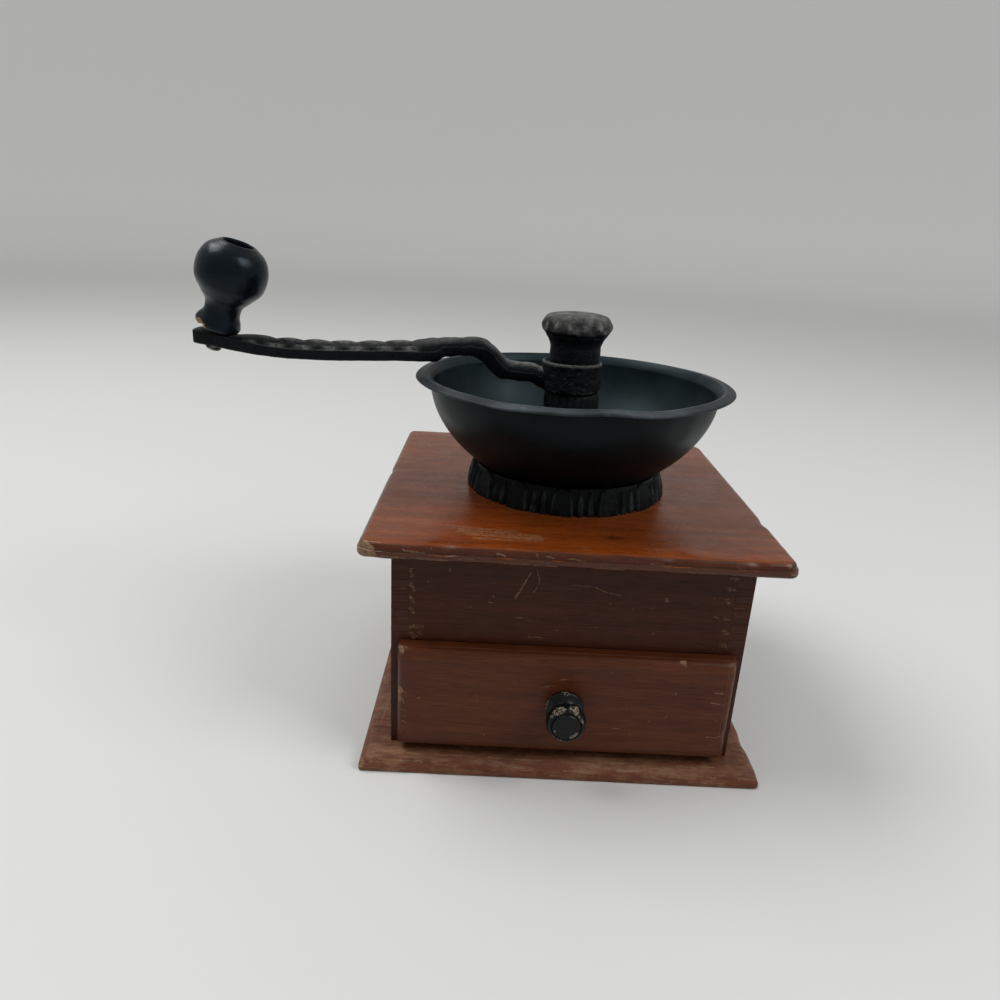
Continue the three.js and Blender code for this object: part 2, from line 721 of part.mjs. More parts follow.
// Inner burr: a cone with helical teeth under a plain collar, bored for the spindle and
// cross-drilled for its pin
const drivePinLevel = innerBurrTopLevel - burrCollarHeight / 2;
function addInnerBurr() {
  const shoulder = innerBurrCone + innerBurrShoulder;
  const height = shoulder + burrCollarHeight;
  const steps = 3;
  const cone = Array.from({ length: steps + 1 }, (_, i) => [
    THREE.MathUtils.lerp(innerBurrBottom, innerBurrWaist, i / steps), innerBurrCone * (i / steps),
  ]);
  const bore = spindleRadius + fit;
  const profile = ringProfile([
    [bore, 0],
    ...cone,
    [(innerBurrWaist + innerBurrTop) / 2, innerBurrCone + innerBurrShoulder / 2],
    [innerBurrTop, shoulder],
    [burrCollarRadius, shoulder],
    [burrCollarRadius, height],
    [bore, height],
  ]);
  const tooth = (angle, level, radius) => {
    if (radius <= innerBurrTop || level > shoulder) return radius;
    const twist = innerToothTwist * (level / shoulder);
    const groove = 0.5 - 0.5 * Math.cos((angle + twist) * innerBurrTeeth);
    const depth = innerToothDepth * (0.35 + 0.65 * (level / shoulder));
    return radius - depth * groove;
  };
  const crossHole = rod(drivePinRadius + fit, burrCollarRadius * 2 + overrun * 2, screwSides)
    .rotateY(quarterTurn).translate(-burrCollarRadius - overrun, 0, height - burrCollarHeight / 2);
  add('inner_burr', cut(turned(profile, innerBurrTeeth * 3, tooth), crossHole), finish.steel,
    0, 0, innerBurrBottomLevel);
  const pinLength = (burrCollarRadius - drivePinInset) * 2;
  add('drive_pin', closed(rod(drivePinRadius, pinLength, screwSides)
    .rotateY(quarterTurn).translate(-pinLength / 2, 0, 0)), finish.steel, 0, 0, drivePinLevel);
}

// Spindle: a tip in the lower bar, a plain shaft with a keyway, a square for the crank
// and a thread for the cap nut
function addSpindle() {
  const bottom = barBottom - spindleTail;
  const shoulder = bottom + spindleTipLength;
  const shaft = rod(spindleRadius, hubBottom - glueLine - shoulder, 20).translate(0, 0, shoulder);
  const tip = rod(spindleTipRadius, spindleTipLength + overrun, 16).translate(0, 0, bottom);
  const square = block(squareSide, squareSide, hubHeight + overrun)
    .translate(0, 0, hubBottom - overrun);
  const thread = rod(threadRadius, threadLength + overrun, 16)
    .translate(0, 0, hubBottom + hubHeight - overrun);
  const keyway = block(keyWidth + fit * 2, keyDepth + overrun, hubBottom - postTop + keywayDrop)
    .translate(0, spindleRadius + (overrun - keyDepth) / 2, postTop - keywayDrop);
  const cross = rod(drivePinRadius + fit, spindleRadius * 2 + overrun * 2, screwSides)
    .rotateY(quarterTurn).translate(-spindleRadius - overrun, 0, drivePinLevel);
  add('spindle', cut(join(shaft, tip, square, thread), keyway, cross), finish.steel);
}

// Compression spring between the bridge and the inner burr, as one wire
function addSpring() {
  const low = innerBurrTopLevel + fit + springWire;
  const high = bridgeBottom - fit - springWire;
  const stepsPerCoil = 8;
  const sides = 5;
  const steps = stepsPerCoil * springCoils;
  const rings = Array.from({ length: steps + 1 }, (_, i) => {
    const angle = fullTurn * (i / stepsPerCoil);
    return Array.from({ length: sides }, (__, side) => {
      const turn = fullTurn * (side / sides);
      const radius = springRadius + springWire * Math.cos(turn);
      return [radius * Math.cos(angle), radius * Math.sin(angle),
        THREE.MathUtils.lerp(low, high, i / steps) + springWire * Math.sin(turn)];
    });
  });
  add('tension_spring', loft(rings), finish.steel);
}

// Bearing bridge: a ring on the housing's ledge, three ribs and the tall post
function addBridge() {
  const ringHeight = barrelTop - bridgeBottom;
  const ring = turned(ringProfile([
    [throatRadius, 0], [bridgeRingRadius, 0], [bridgeRingRadius, ringHeight],
    [throatRadius, ringHeight],
  ]), 32);
  const neck = postHeight - postHeadHeight;
  const bore = spindleRadius + runGap;
  const post = turned(ringProfile([
    [bore, 0],
    [postRadius, 0],
    [postRadius, neck - postHeadHeight],
    [postHeadRadius, neck],
    [postHeadRadius, postHeight],
    [bore, postHeight],
  ]), 20);
  const ribInner = (bore + postRadius) / 2;
  const rib = facingFront(slab(outline([
    [ribInner, 0],
    [throatRadius + overrun, 0],
    [throatRadius + overrun, ringHeight],
    [throatRadius - overrun, ringHeight],
    [(postRadius + throatRadius) / 2, ringHeight * 1.6],
    [postRadius + overrun, ringHeight * 3],
    [ribInner, ringHeight * 3.4],
  ]), bridgeArmWidth)).translate(0, bridgeArmWidth / 2, 0);
  const ribs = Array.from({ length: bridgeArms }, (_, i) => rib.clone()
    .rotateZ(fullTurn * (1 / 4 + i / bridgeArms)));
  const holes = bowlScrewPlaces.map(([x, y]) => rod(
    screwHole, ringHeight + overrun * 2, screwSides).translate(x, y, -overrun));
  add('bearing_bridge', cut(join(post, ring, ...ribs), ...holes), finish.castIron,
    0, 0, bridgeBottom);
}

// Washer with an inward key that rides in the spindle's keyway
function addWasher() {
  const bore = spindleRadius + fit;
  const keyHalf = Math.asin(keyWidth / 2 / bore);
  const keyTip = spindleRadius - keyDepth + fit;
  const shape = new THREE.Shape().absarc(0, 0, washerRadius, 0, fullTurn);
  const hole = new THREE.Path();
  hole.moveTo(-keyWidth / 2, keyTip);
  hole.lineTo(keyWidth / 2, keyTip);
  hole.absarc(0, 0, bore, quarterTurn - keyHalf, quarterTurn + keyHalf, true);
  shape.holes.push(hole);
  add('key_washer', closed(slab(shape, washerThickness, 10)), finish.steel, 0, 0, washerBottom);
}

// Adjusting nut with a fluted grip
function addAdjustingNut() {
  const bore = spindleRadius + fit;
  const edge = nutRibDepth * 2;
  const profile = ringProfile([
    [bore, 0],
    [nutRadius - edge, 0],
    [nutRadius, edge],
    [nutRadius, nutHeight - edge],
    [nutRadius - edge, nutHeight],
    [bore, nutHeight],
  ]);
  const ribbed = (angle, level, radius) => (radius > nutRadius - edge / 2
    ? radius + nutRibDepth * 0.5 * (Math.cos(angle * nutRibs) - 1) : radius);
  add('adjusting_nut', turned(profile, nutRibs * 2, ribbed), finish.castIron, 0, 0, nutBottom);
}

// Bar under the burrs with an eye for the spindle's tip, held by two screws
function addLowerBar() {
  const straight = barLength - barWidth;
  const ends = [-1, 1].map((side) => rod(barWidth / 2, barThickness, 16)
    .translate(side * straight / 2, 0, 0));
  const eye = rod(barEyeRadius, barThickness, 24);
  const cutters = [
    rod(spindleTipRadius + runGap, barThickness + overrun * 2, 20).translate(0, 0, -overrun),
    ...[-1, 1].map((side) => rod(screwHole, barThickness + overrun * 2, screwSides)
      .translate(side * barScrewReach, 0, -overrun)),
  ];
  const bar = join(block(straight, barWidth, barThickness), ...ends, eye);
  add('lower_bridge', cut(bar, ...cutters), finish.steel, 0, 0, barBottom);
  [['left', -1], ['right', 1]].forEach(([name, side]) => {
    const mesh = add(`lower_screw_${name}`, screw(barScrewLength, machineScrewTip), finish.steel,
      side * barScrewReach, 0, barBottom - glueLine);
    mesh.rotation.x = Math.PI;
  });
}

// Collar: a shallow cast cup whose outside is a row of wide and narrow petals
function addCollar() {
  const hole = throatRadius + fit;
  const profile = ringProfile([
    [hole, 0],
    [collarRadius, 0],
    [collarRadius + collarPetalDepth * 0.3, collarHeight * 0.12],
    [THREE.MathUtils.lerp(collarRadius, collarTopRadius, 0.5), collarHeight * 0.6],
    [collarTopRadius, collarHeight * 0.9],
    [collarTopRadius - collarWall / 2, collarHeight],
    [collarInside, collarHeight * 0.94],
    [collarInside - collarWall, collarFloor],
    [hole, collarFloor],
  ]);
  const petal = (angle, level, radius) => {
    if (radius < collarInside + collarWall * 0.6 || level > collarHeight * 0.95) return radius;
    const pair = THREE.MathUtils.euclideanModulo(angle * collarPetalPairs / fullTurn, 1);
    const [start, end, height] = pair < widePetalShare
      ? [0, widePetalShare, 1] : [widePetalShare, 1, 0.75];
    const along = (pair - start) / (end - start);
    const arch = Math.max(0, 1 - (level / collarHeight) ** 4 * 0.6);
    return radius - collarPetalDepth * (1 - height * arch * Math.sin(Math.PI * along) ** 0.5);
  };
  const holes = bowlScrewPlaces.map(([x, y]) => rod(
    screwHole, collarFloor + overrun * 2, screwSides).translate(x, y, -overrun));
  add('collar_ring', cut(turned(profile, collarPetalPairs * 6, petal), ...holes),
    finish.castIron, 0, 0, collarBottom);
}

// Bowl: a superellipse of spun sheet with a flat bottom, an open throat and a turned-out
// rim whose crest is higher than its edge
function addBowl() {
  const steps = 6;
  const outer = Array.from({ length: steps + 1 }, (_, i) => bowlPoint(
    THREE.MathUtils.lerp(bowlStart, quarterTurn, i / steps)));
  outer[0][1] = 0;
  const crest = rimCrest - bowlFloor;
  const edge = crest - rimDrop;
  const rimRadius = bowlRadius + rimWidth;
  const rimCrestRadius = bowlRadius + rimCrestWidth;
  const inner = outer.map(([radius, height], i) => {
    const [r0, z0] = outer[Math.max(i - 1, 0)];
    const [r1, z1] = outer[Math.min(i + 1, steps)];
    const length = Math.hypot(r1 - r0, z1 - z0);
    return [radius - bowlSheet * (z1 - z0) / length, height + bowlSheet * (r1 - r0) / length];
  });
  inner[0] = [inner[0][0], bowlSheet];
  const profile = ringProfile([
    [throatRadius, 0],
    ...outer,
    [rimCrestRadius, crest - bowlSheet],
    [rimRadius - bowlSheet / 2, edge - bowlSheet],
    [rimRadius, edge - bowlSheet / 2],
    [rimRadius - bowlSheet / 2, edge],
    [rimCrestRadius, crest],
    [rimCrestRadius - bowlSheet, crest - bowlSheet / 3],
    ...inner.reverse(),
    [throatRadius, bowlSheet],
  ]);
  const holes = bowlScrewPlaces.map(([x, y]) => rod(
    screwHole, bowlSheet + overrun * 2, screwSides).translate(x, y, -overrun));
  add('hopper_bowl', cut(turned(profile, 36), ...holes), finish.spunMetal, 0, 0, bowlFloor);
  bowlScrewPlaces.forEach(([x, y], i) => {
    add(`bowl_screw_${i + 1}`, screw(bowlScrewLength, machineScrewTip), finish.steel,
      x, y, bowlFloor + bowlSheet + glueLine);
  });
}

// The crank arm's sections from hub to tip: shares of the reach, then of the rise for
// the underside and the side's upper edge, then of the crown's height
const armSectionShares = [
  [0.060, 0.04, 0.46, 0.86],
  [0.094, 0.13, 0.50, 0.97],
  [0.111, 0.26, 0.57, 1.06],
  [0.140, 0.30, 0.60, 1.03],
  [0.167, 0.30, 0.61, 1.03],
  [0.181, 0.30, 0.68, 1.11],
  [0.199, 0.34, 0.89, 1.03],
  [0.216, 0.52, 1.11, 0.89],
  [0.234, 0.73, 1.26, 0.89],
  [0.251, 0.91, 1.32, 0.97],
  [0.275, 1.00, 1.33, 0.91],
  [0.304, 0.99, 1.30, 0.86],
  [0.339, 0.94, 1.27, 0.94],
  [0.357, 0.91, 1.23, 1.11],
  [0.371, 0.79, 1.09, 1.54],
  [0.386, 0.75, 1.07, 1.49],
  [0.409, 0.74, 1.07, 1.37],
  [0.456, 0.73, 1.07, 1.14],
  [0.515, 0.70, 1.04, 1.03],
  [0.573, 0.66, 1.01, 0.97],
  [0.632, 0.63, 0.98, 1.00],
  [0.690, 0.62, 0.96, 1.06],
  [0.749, 0.62, 0.96, 1.09],
  [0.801, 0.65, 1.00, 0.97],
  [0.854, 0.71, 1.09, 0.80],
  [0.901, 0.79, 1.17, 0.23],
  [0.953, 0.90, 1.31, 0.14],
  [0.994, 0.96, 1.40, 0.14],
  [1.000, 0.99, 1.35, 0.06],
];
const armCrownShares = [
  [1, 0], [0.8, 0.6], [0.4, 0.92], [0, 1], [-0.4, 0.92], [-0.8, 0.6], [-1, 0],
];

// One upright section: flat below, upright sides and a round crown
function armRing([along, under, side, crown]) {
  const half = armWidth / 2;
  const top = armCrownShares.map(([across, up]) => [
    across * half, side * armRise + crown * up * armCrown,
  ]);
  return [[-half, under * armRise], [half, under * armRise], ...top]
    .map(([y, z]) => [-along * crankReach, y, z]);
}

const knobFoot = new THREE.Vector3(-knobFootReach, 0, hubBottom + knobFootRise);
const knobTurn = new THREE.Quaternion().setFromEuler(
  new THREE.Euler(knobLeanToFront, knobLean, 0));

// Crank: the arm joined to its hub, with a square hole and the pin's leaning hole
function addCrank() {
  const arm = loft(armSectionShares.map(armRing));
  const hub = turned([
    [0, 0],
    [hubRadius - hubRound, 0],
    [hubRadius, hubRound],
    [hubRadius - hubRound / 3, hubHeight / 2],
    [hubRadius + hubRound / 3, hubHeight - hubRound * 2],
    [hubRadius + hubRound / 4, hubHeight - hubRound / 2],
    [hubRadius - hubRound / 2, hubHeight],
    [0, hubHeight],
  ], 28);
  const squareHole = block(squareSide + fit * 2, squareSide + fit * 2, hubHeight + overrun * 2)
    .translate(0, 0, -overrun);
  const pinHole = rod(pinRadius + fit, pinTail + armRise, 16).translate(0, 0, -pinTail - overrun)
    .applyQuaternion(knobTurn).translate(-knobFootReach, 0, knobFootRise);
  add('crank_arm', cut(join(hub, arm), squareHole, pinHole), finish.castIron, 0, 0, hubBottom);
}

// Cap nut: a plain shank under a domed head, with a row of bosses over a scalloped edge
function addCapNut() {
  const bore = threadRadius + fit;
  const headShares = [
    [0.76, 0.37], [0.82, 0.45], [0.97, 0.58], [1.03, 0.7], [0.97, 0.84], [0.72, 0.95],
  ];
  const profile = [
    [0, capHeight - capCrown],
    [bore, capHeight - capCrown],
    [bore, 0],
    [capShankRadius, 0],
    ...headShares.map(([radius, height]) => [radius * capRadius, height * capHeight]),
    [0, capHeight],
  ];
  const bossLevel = capHeight * 0.74;
  const bossReach = capHeight * 0.24;
  const boss = (angle, level, radius) => {
    const near = Math.max(0, 1 - Math.abs(level - bossLevel) / bossReach);
    return radius > capShankRadius ? radius + capBossDepth * near * Math.cos(angle * capBosses)
      : radius;
  };
  add('cap_nut', turned(profile, capBosses * 3, boss), finish.castIron, 0, 0, capBottom);
}

// Ball knob on its leaning axis: a chamfered foot, a waist, a ball and a deep recess
// for the pin's head, as shares of its radius and height
const knobOutlineShares = [
  [0.6, 0.05], [0.585, 0.1], [0.5, 0.187], [0.516, 0.293], [0.735, 0.4], [0.95, 0.532],
  [1, 0.666], [0.945, 0.8], [0.795, 0.907], [0.47, 1],
];
function addKnob() {
  const holder = new THREE.Group();
  holder.position.copy(knobFoot);
  holder.quaternion.copy(knobTurn);
  part.add(holder);

  const curve = new THREE.SplineCurve(knobOutlineShares.map(
    ([radius, height]) => new THREE.Vector2(radius * knobRadius, height * knobHeight)));
  const recessFloor = knobHeight - knobRecessDepth;
  const bore = pinRadius + fit;
  const profile = ringProfile([
    [bore, 0],
    [knobRadius * 0.53, 0],
    ...curve.getPoints(12).map((point) => [point.x, point.y]),
    [knobRecessRadius, knobHeight - knobRecessRadius / 20],
    [knobRecessRadius, recessFloor],
    [bore, recessFloor],
  ]);
  add('crank_knob', turned(profile, 18), finish.paintedWood, 0, 0, 0, holder);

  const headBottom = recessFloor + fit;
  const pin = turned([
    [0, -pinTail],
    [pinPeenRadius * 0.6, -pinTail],
    [pinPeenRadius, pinPeenHeight * 0.6 - pinTail],
    [pinPeenRadius, pinPeenHeight - pinTail],
    [pinRadius, pinPeenHeight - pinTail],
    [pinRadius, headBottom],
    [pinHeadRadius, headBottom],
    [pinHeadRadius * 0.95, headBottom + pinHeadHeight / 2],
    [pinHeadRadius * 0.6, headBottom + pinHeadHeight],
    [0, headBottom + pinHeadHeight],
  ], 12);
  add('knob_pin', pin, finish.steel, 0, 0, 0, holder);
}

addBase();
addSideWalls();
addFrontAndBack();
addTop();
addDrawerFront();
addDrawerBox();
addPull();
addHousing();
addOuterBurr();
addInnerBurr();
addSpindle();
addSpring();
addBridge();
addWasher();
addAdjustingNut();
addLowerBar();
addCollar();
addBowl();
addCrank();
addCapNut();
addKnob();

export default part;
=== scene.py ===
import json
import math

import bmesh
import bpy
import numpy as np
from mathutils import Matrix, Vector, noise


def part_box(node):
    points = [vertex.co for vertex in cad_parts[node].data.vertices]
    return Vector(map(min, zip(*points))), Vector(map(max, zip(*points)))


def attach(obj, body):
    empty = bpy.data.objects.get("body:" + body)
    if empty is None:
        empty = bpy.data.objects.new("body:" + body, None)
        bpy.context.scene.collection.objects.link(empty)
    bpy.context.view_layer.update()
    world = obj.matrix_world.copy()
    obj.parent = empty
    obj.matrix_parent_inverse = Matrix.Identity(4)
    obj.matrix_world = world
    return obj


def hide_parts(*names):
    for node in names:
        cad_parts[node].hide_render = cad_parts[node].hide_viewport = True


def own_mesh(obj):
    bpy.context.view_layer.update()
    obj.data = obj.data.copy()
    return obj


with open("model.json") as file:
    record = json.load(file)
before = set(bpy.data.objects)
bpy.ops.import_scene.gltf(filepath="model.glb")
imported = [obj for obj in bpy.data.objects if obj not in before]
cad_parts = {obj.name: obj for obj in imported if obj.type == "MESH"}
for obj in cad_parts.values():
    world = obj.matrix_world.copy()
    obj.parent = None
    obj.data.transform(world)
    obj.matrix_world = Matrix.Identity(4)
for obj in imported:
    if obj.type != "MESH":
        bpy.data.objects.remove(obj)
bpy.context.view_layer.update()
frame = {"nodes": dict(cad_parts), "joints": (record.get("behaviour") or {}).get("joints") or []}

MM = 0.001
TURN = math.tau


# Mesh helpers. Shapes are worked out in millimetres and made in metres.

def low(node):
    return Vector(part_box(node)[0]) / MM


def high(node):
    return Vector(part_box(node)[1]) / MM


def linked(name, data):
    made = bpy.data.objects.new(name, data)
    bpy.context.collection.objects.link(made)
    return made


def piece(name, shape, material, body, nodes=(), sharp=40, masks=None):
    """One smooth closed mesh that rides on a body and stands for the named nodes."""
    verts, faces = shape
    mesh = bpy.data.meshes.new(name)
    mesh.from_pydata((np.asarray(verts) * MM).tolist(), [], faces)
    for mask, values in (masks or {}).items():
        layer = mesh.attributes.new(mask, "FLOAT", "POINT")
        layer.data.foreach_set("value", np.asarray(values, dtype=np.float32))
    sheet = bmesh.new()
    sheet.from_mesh(mesh)
    bmesh.ops.recalc_face_normals(sheet, faces=sheet.faces)
    sheet.to_mesh(mesh)
    sheet.free()
    mesh.shade_smooth()
    mesh.set_sharp_from_angle(angle=math.radians(sharp))
    mesh.materials.append(material)
    made = linked(name, mesh)
    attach(made, body)
    if nodes:
        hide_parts(*nodes)
    return made


def skin(rings, loop=False):
    """Vertices and faces through rings of equal count, closed on itself or capped."""
    rings = np.asarray(rings, float)
    rows, count = rings.shape[:2]
    faces = []
    for row in range(rows if loop else rows - 1):
        here, there = row * count, (row + 1) % rows * count
        for i in range(count):
            j = (i + 1) % count
            faces.append((here + i, here + j, there + j, there + i))
    if not loop:
        faces.append(tuple(range(count)))
        faces.append(tuple((rows - 1) * count + i for i in reversed(range(count))))
    return rings.reshape(-1, 3), faces


def turned(profile, segments, loop=False, ripple=None):
    """A body turned about Z from (radius, height) points; ripple moves each ring."""
    angle = np.arange(segments) / segments * TURN
    rings = []
    for radius, height in profile:
        radii, heights = np.full(segments, float(radius)), np.full(segments, float(height))
        if ripple:
            radii, heights = ripple(angle, radii, heights)
        rings.append(np.stack([radii * np.cos(angle), radii * np.sin(angle), heights], 1))
    return skin(rings, loop)


def spline(points, count):
    """Even points on a smooth curve through the given ones."""
    points = np.asarray(points, float)
    steps = np.linalg.norm(np.diff(points, axis=0), axis=1)
    along = np.concatenate([[0], np.cumsum(steps)])
    slope = np.gradient(points, along, axis=0)
    spots = np.linspace(0, along[-1], count)
    i = np.clip(np.searchsorted(along, spots) - 1, 0, len(points) - 2)
    span = (along[i + 1] - along[i])[:, None]
    t = (spots - along[i])[:, None] / span
    return ((2 * t**3 - 3 * t**2 + 1) * points[i] + (t**3 - 2 * t**2 + t) * span * slope[i]
            + (3 * t**2 - 2 * t**3) * points[i + 1] + (t**3 - t**2) * span * slope[i + 1])


def rounded(corners, closed=True, steps=4):
    """An outline from (u, v, radius) corners, each rounded by about its radius."""
    result = []
    for i, (u, v, radius) in enumerate(corners):
        here = np.array([u, v], float)
        at_end = not closed and i in (0, len(corners) - 1)
        if radius == 0 or at_end:
            result.append(here)
            continue
        arms = [np.array(corners[k][:2], float) - here for k in (i - 1, (i + 1) % len(corners))]
        lengths = [np.linalg.norm(arm) for arm in arms]
        cut = [min(radius, length * 0.49) / length for length in lengths]
        start, end = here + arms[0] * cut[0], here + arms[1] * cut[1]
        for t in np.linspace(0, 1, steps + 1):
            result.append((1 - t)**2 * start + 2 * t * (1 - t) * here + t**2 * end)
    return np.array(result)


def bumps(verts, size, seed=0.0):
    """Smooth noise, about -1 to 1, at each vertex."""
    shift = Vector((seed * 17.3, seed * 5.1, seed * 9.7))
    return np.array([noise.noise(Vector(v) / size + shift) for v in verts])


def dented(verts, dents):
    """Press shallow round dents, (place, radius, push), into the vertices."""
    verts = np.array(verts, float)
    for place, radius, push in dents:
        far = np.linalg.norm(verts - np.array(place), axis=1) / radius
        verts += np.outer(np.clip(1 - far**2, 0, 1)**2, push)
    return verts


def ramp(value, start, reach):
    """0 up to start, then straight up to 1 over reach."""
    return np.clip((value - start) / reach, 0, 1)


def bell(away, width):
    return np.exp(-(away / width)**2)


def swing_from(degrees, middle):
    """The short way round from one angle to another, in degrees."""
    return (degrees - middle + 180) % 360 - 180


def radii_of(verts):
    return np.hypot(verts[:, 0], verts[:, 1])


def turns_of(verts):
    return np.arctan2(verts[:, 1], verts[:, 0])


def swell(verts, lumps, least=1):
    """Push each vertex out from the axis by its lump, and less so nearer than least."""
    verts[:, :2] *= (1 + lumps / np.maximum(radii_of(verts), least))[:, None]


def bared(verts, places, most, start, fall=1.0):
    """How bare a finish is near (place, reach) points, from 0 to most."""
    bare = np.zeros(len(verts))
    for place, reach in places:
        far = np.linalg.norm(verts - np.array(place), axis=1) / reach
        bare = np.maximum(bare, np.clip(start - fall * far, 0, most))
    return bare


# Node helpers

def tone(red, green, blue):
    """A colour written in 0 to 255, as a linear one."""
    parts = [value / 255 for value in (red, green, blue)]
    return [p / 12.92 if p <= 0.04045 else ((p + 0.055) / 1.055)**2.4 for p in parts] + [1.0]


def dimmed(values, share):
    return tone(*[value * share for value in values])


class Graph:
    """Short calls that add nodes to one tree."""

    def __init__(self, tree):
        self.tree = tree

    def node(self, kind, **settings):
        made = self.tree.nodes.new("ShaderNode" + kind)
        for key, value in settings.items():
            setattr(made, key, value)
        return made

    def put(self, value, socket):
        if isinstance(value, bpy.types.NodeSocket):
            self.tree.links.new(value, socket)
        elif value is not None:
            socket.default_value = value

    def math(self, operation, a, b=None, clamp=False):
        made = self.node("Math", operation=operation, use_clamp=clamp)
        self.put(a, made.inputs[0])
        self.put(b, made.inputs[1])
        return made.outputs[0]

    def vector(self, operation, a, b=None, output=0):
        made = self.node("VectorMath", operation=operation)
        self.put(a, made.inputs[0])
        self.put(b, made.inputs[1])
        return made.outputs[output]

    def times(self, a, b):
        return self.math("MULTIPLY", a, b)

    def plus(self, a, b):
        return self.math("ADD", a, b)

    def minus(self, a, b):
        return self.math("SUBTRACT", a, b)

    def larger(self, a, b):
        return self.math("MAXIMUM", a, b)

    def stretched(self, place, shares):
        return self.vector("MULTIPLY", place, shares)

    def length(self, value):
        return self.vector("LENGTH", value, None, "Value")

    def parts(self, value):
        made = self.node("SeparateXYZ")
        self.put(value, made.inputs[0])
        return list(made.outputs)

    def joined(self, x, y, z):
        made = self.node("CombineXYZ")
        for socket, value in zip(made.inputs, (x, y, z)):
            self.put(value, socket)
        return made.outputs[0]

    def place(self):
        """The surface point in the frame, in millimetres."""
        made = self.node("TexCoord")
        return self.vector("MULTIPLY", made.outputs["Object"], (1 / MM,) * 3)

    def noise(self, place, size, detail=2.0, rough=0.5, scale=None):
        """Noise of a size in millimetres, or of a scale, its inverse, given as a socket."""
        made = self.node("TexNoise")
        self.put(place, made.inputs["Vector"])
        self.put(1 / size if scale is None else scale, made.inputs["Scale"])
        made.inputs["Detail"].default_value = detail
        made.inputs["Roughness"].default_value = rough
        return made.outputs[0]

    def wobble(self, place, size, reach):
        made = self.node("TexNoise")
        self.put(place, made.inputs["Vector"])
        made.inputs["Scale"].default_value = 1 / size
        centred = self.vector("SUBTRACT", made.outputs["Color"], (0.5,) * 3)
        return self.vector("ADD", place, self.vector("MULTIPLY", centred, (reach * 2,) * 3))

    def span(self, value, start, end, out_start=0.0, out_end=1.0):
        made = self.node("MapRange", interpolation_type="SMOOTHSTEP")
        for socket, number in zip(range(5), (value, start, end, out_start, out_end)):
            self.put(number, made.inputs[socket])
        return made.outputs[0]

    def mix(self, factor, a, b, kind="MIX"):
        made = self.node("Mix", data_type="RGBA", blend_type=kind)
        for socket, value in ((0, factor), (6, a), (7, b)):
            self.put(value, made.inputs[socket])
        return made.outputs[2]

    def attribute(self, name):
        return self.node("Attribute", attribute_name=name).outputs["Fac"]

    def cover(self, shader, colour, rough, normal):
        """Link what a surface is made of to its shader."""
        for name, value in (("Base Color", colour), ("Roughness", rough), ("Normal", normal)):
            self.put(value, shader.inputs[name])

    def bump(self, height, depth, strength=1.0):
        made = self.node("Bump")
        made.inputs["Strength"].default_value = strength
        made.inputs["Distance"].default_value = depth * MM
        self.put(height, made.inputs["Height"])
        return made.outputs[0]


def new_material(name):
    made = bpy.data.materials.new(name)
    made.use_nodes = True
    return made, Graph(made.node_tree), made.node_tree.nodes["Principled BSDF"]


def new_group(name, inputs, outputs):
    tree = bpy.data.node_groups.new(name, "ShaderNodeTree")
    for way, sockets in (("INPUT", inputs), ("OUTPUT", outputs)):
        for label, kind in sockets:
            tree.interface.new_socket(label, in_out=way, socket_type="NodeSocket" + kind)
    graph = Graph(tree)
    return tree, graph, tree.nodes.new("NodeGroupInput"), tree.nodes.new("NodeGroupOutput")


def use_group(graph, tree, **values):
    made = graph.node("Group", node_tree=tree)
    for label, value in values.items():
        graph.put(value, made.inputs[label])
    return made


def stroke_group():
    """Adds one scratch, from Start to End, to a sheet of (across, up, mask) values."""
    inputs = [("Sheet", "Vector"), ("Start", "Vector"), ("End", "Vector"), ("Width", "Float"),
              ("Most", "Float")]
    tree, graph, given, result = new_group("stroke", inputs, [("Sheet", "Vector")])
    sheet, start, end, width, most = [given.outputs[i] for i in range(5)]
    across, up, before = graph.parts(sheet)
    out = graph.vector("SUBTRACT", graph.joined(across, up, 0.0), start)
    way = graph.vector("SUBTRACT", end, start)
    length = graph.plus(graph.vector("DOT_PRODUCT", way, way, "Value"), 0.0001)
    share = graph.math("DIVIDE", graph.vector("DOT_PRODUCT", out, way, "Value"), length, clamp=True)
    scaled = graph.node("VectorMath", operation="SCALE")
    graph.put(way, scaled.inputs[0])
    graph.put(share, scaled.inputs["Scale"])
    far = graph.length(graph.vector("SUBTRACT", out, scaled.outputs[0]))
    near = graph.math("SUBTRACT", 1.0, graph.math("DIVIDE", far, width), clamp=True)
    near = graph.math("MINIMUM", near, most)
    graph.put(graph.joined(across, up, graph.larger(near, before)), result.inputs[0])
    return tree


PORE = (0.008, 0.004, 0.003, 1)


def grain_group():
    """Stained wood: broad tone, fine fibres and short open pores."""
    tree, graph, given, result = new_group(
        "grain", [("Place", "Vector"), ("Dark", "Color"), ("Light", "Color")],
        [("Color", "Color"), ("Height", "Float"), ("Fibre", "Float")])
    place, dark, light = [given.outputs[i] for i in range(3)]
    bent = graph.wobble(place, 14, 1.2)
    bands = graph.noise(bent, 5.0, 2)
    fibre = graph.noise(bent, 0.55, 5, 0.72)
    pores = graph.span(graph.noise(place, 0.3, 1), 0.62, 0.72)
    shade = graph.plus(graph.times(bands, 0.4), graph.times(fibre, 0.75))
    colour = graph.mix(graph.span(shade, 0.34, 0.84), dark, light)
    colour = graph.mix(graph.times(pores, 0.5), colour, PORE)
    graph.put(colour, result.inputs[0])
    graph.put(graph.minus(fibre, pores), result.inputs[1])
    graph.put(fibre, result.inputs[2])
    return tree


def edge_distance(graph, place, centre, half):
    """Distance from a point on a box's surface to the box's nearest edge."""
    out = graph.vector("ABSOLUTE", graph.vector("SUBTRACT", place, centre))
    x, y, z = graph.parts(graph.vector("SUBTRACT", half, out))
    less = graph.math("MINIMUM", x, y)
    more = graph.larger(x, y)
    return graph.larger(less, graph.math("MINIMUM", more, z))


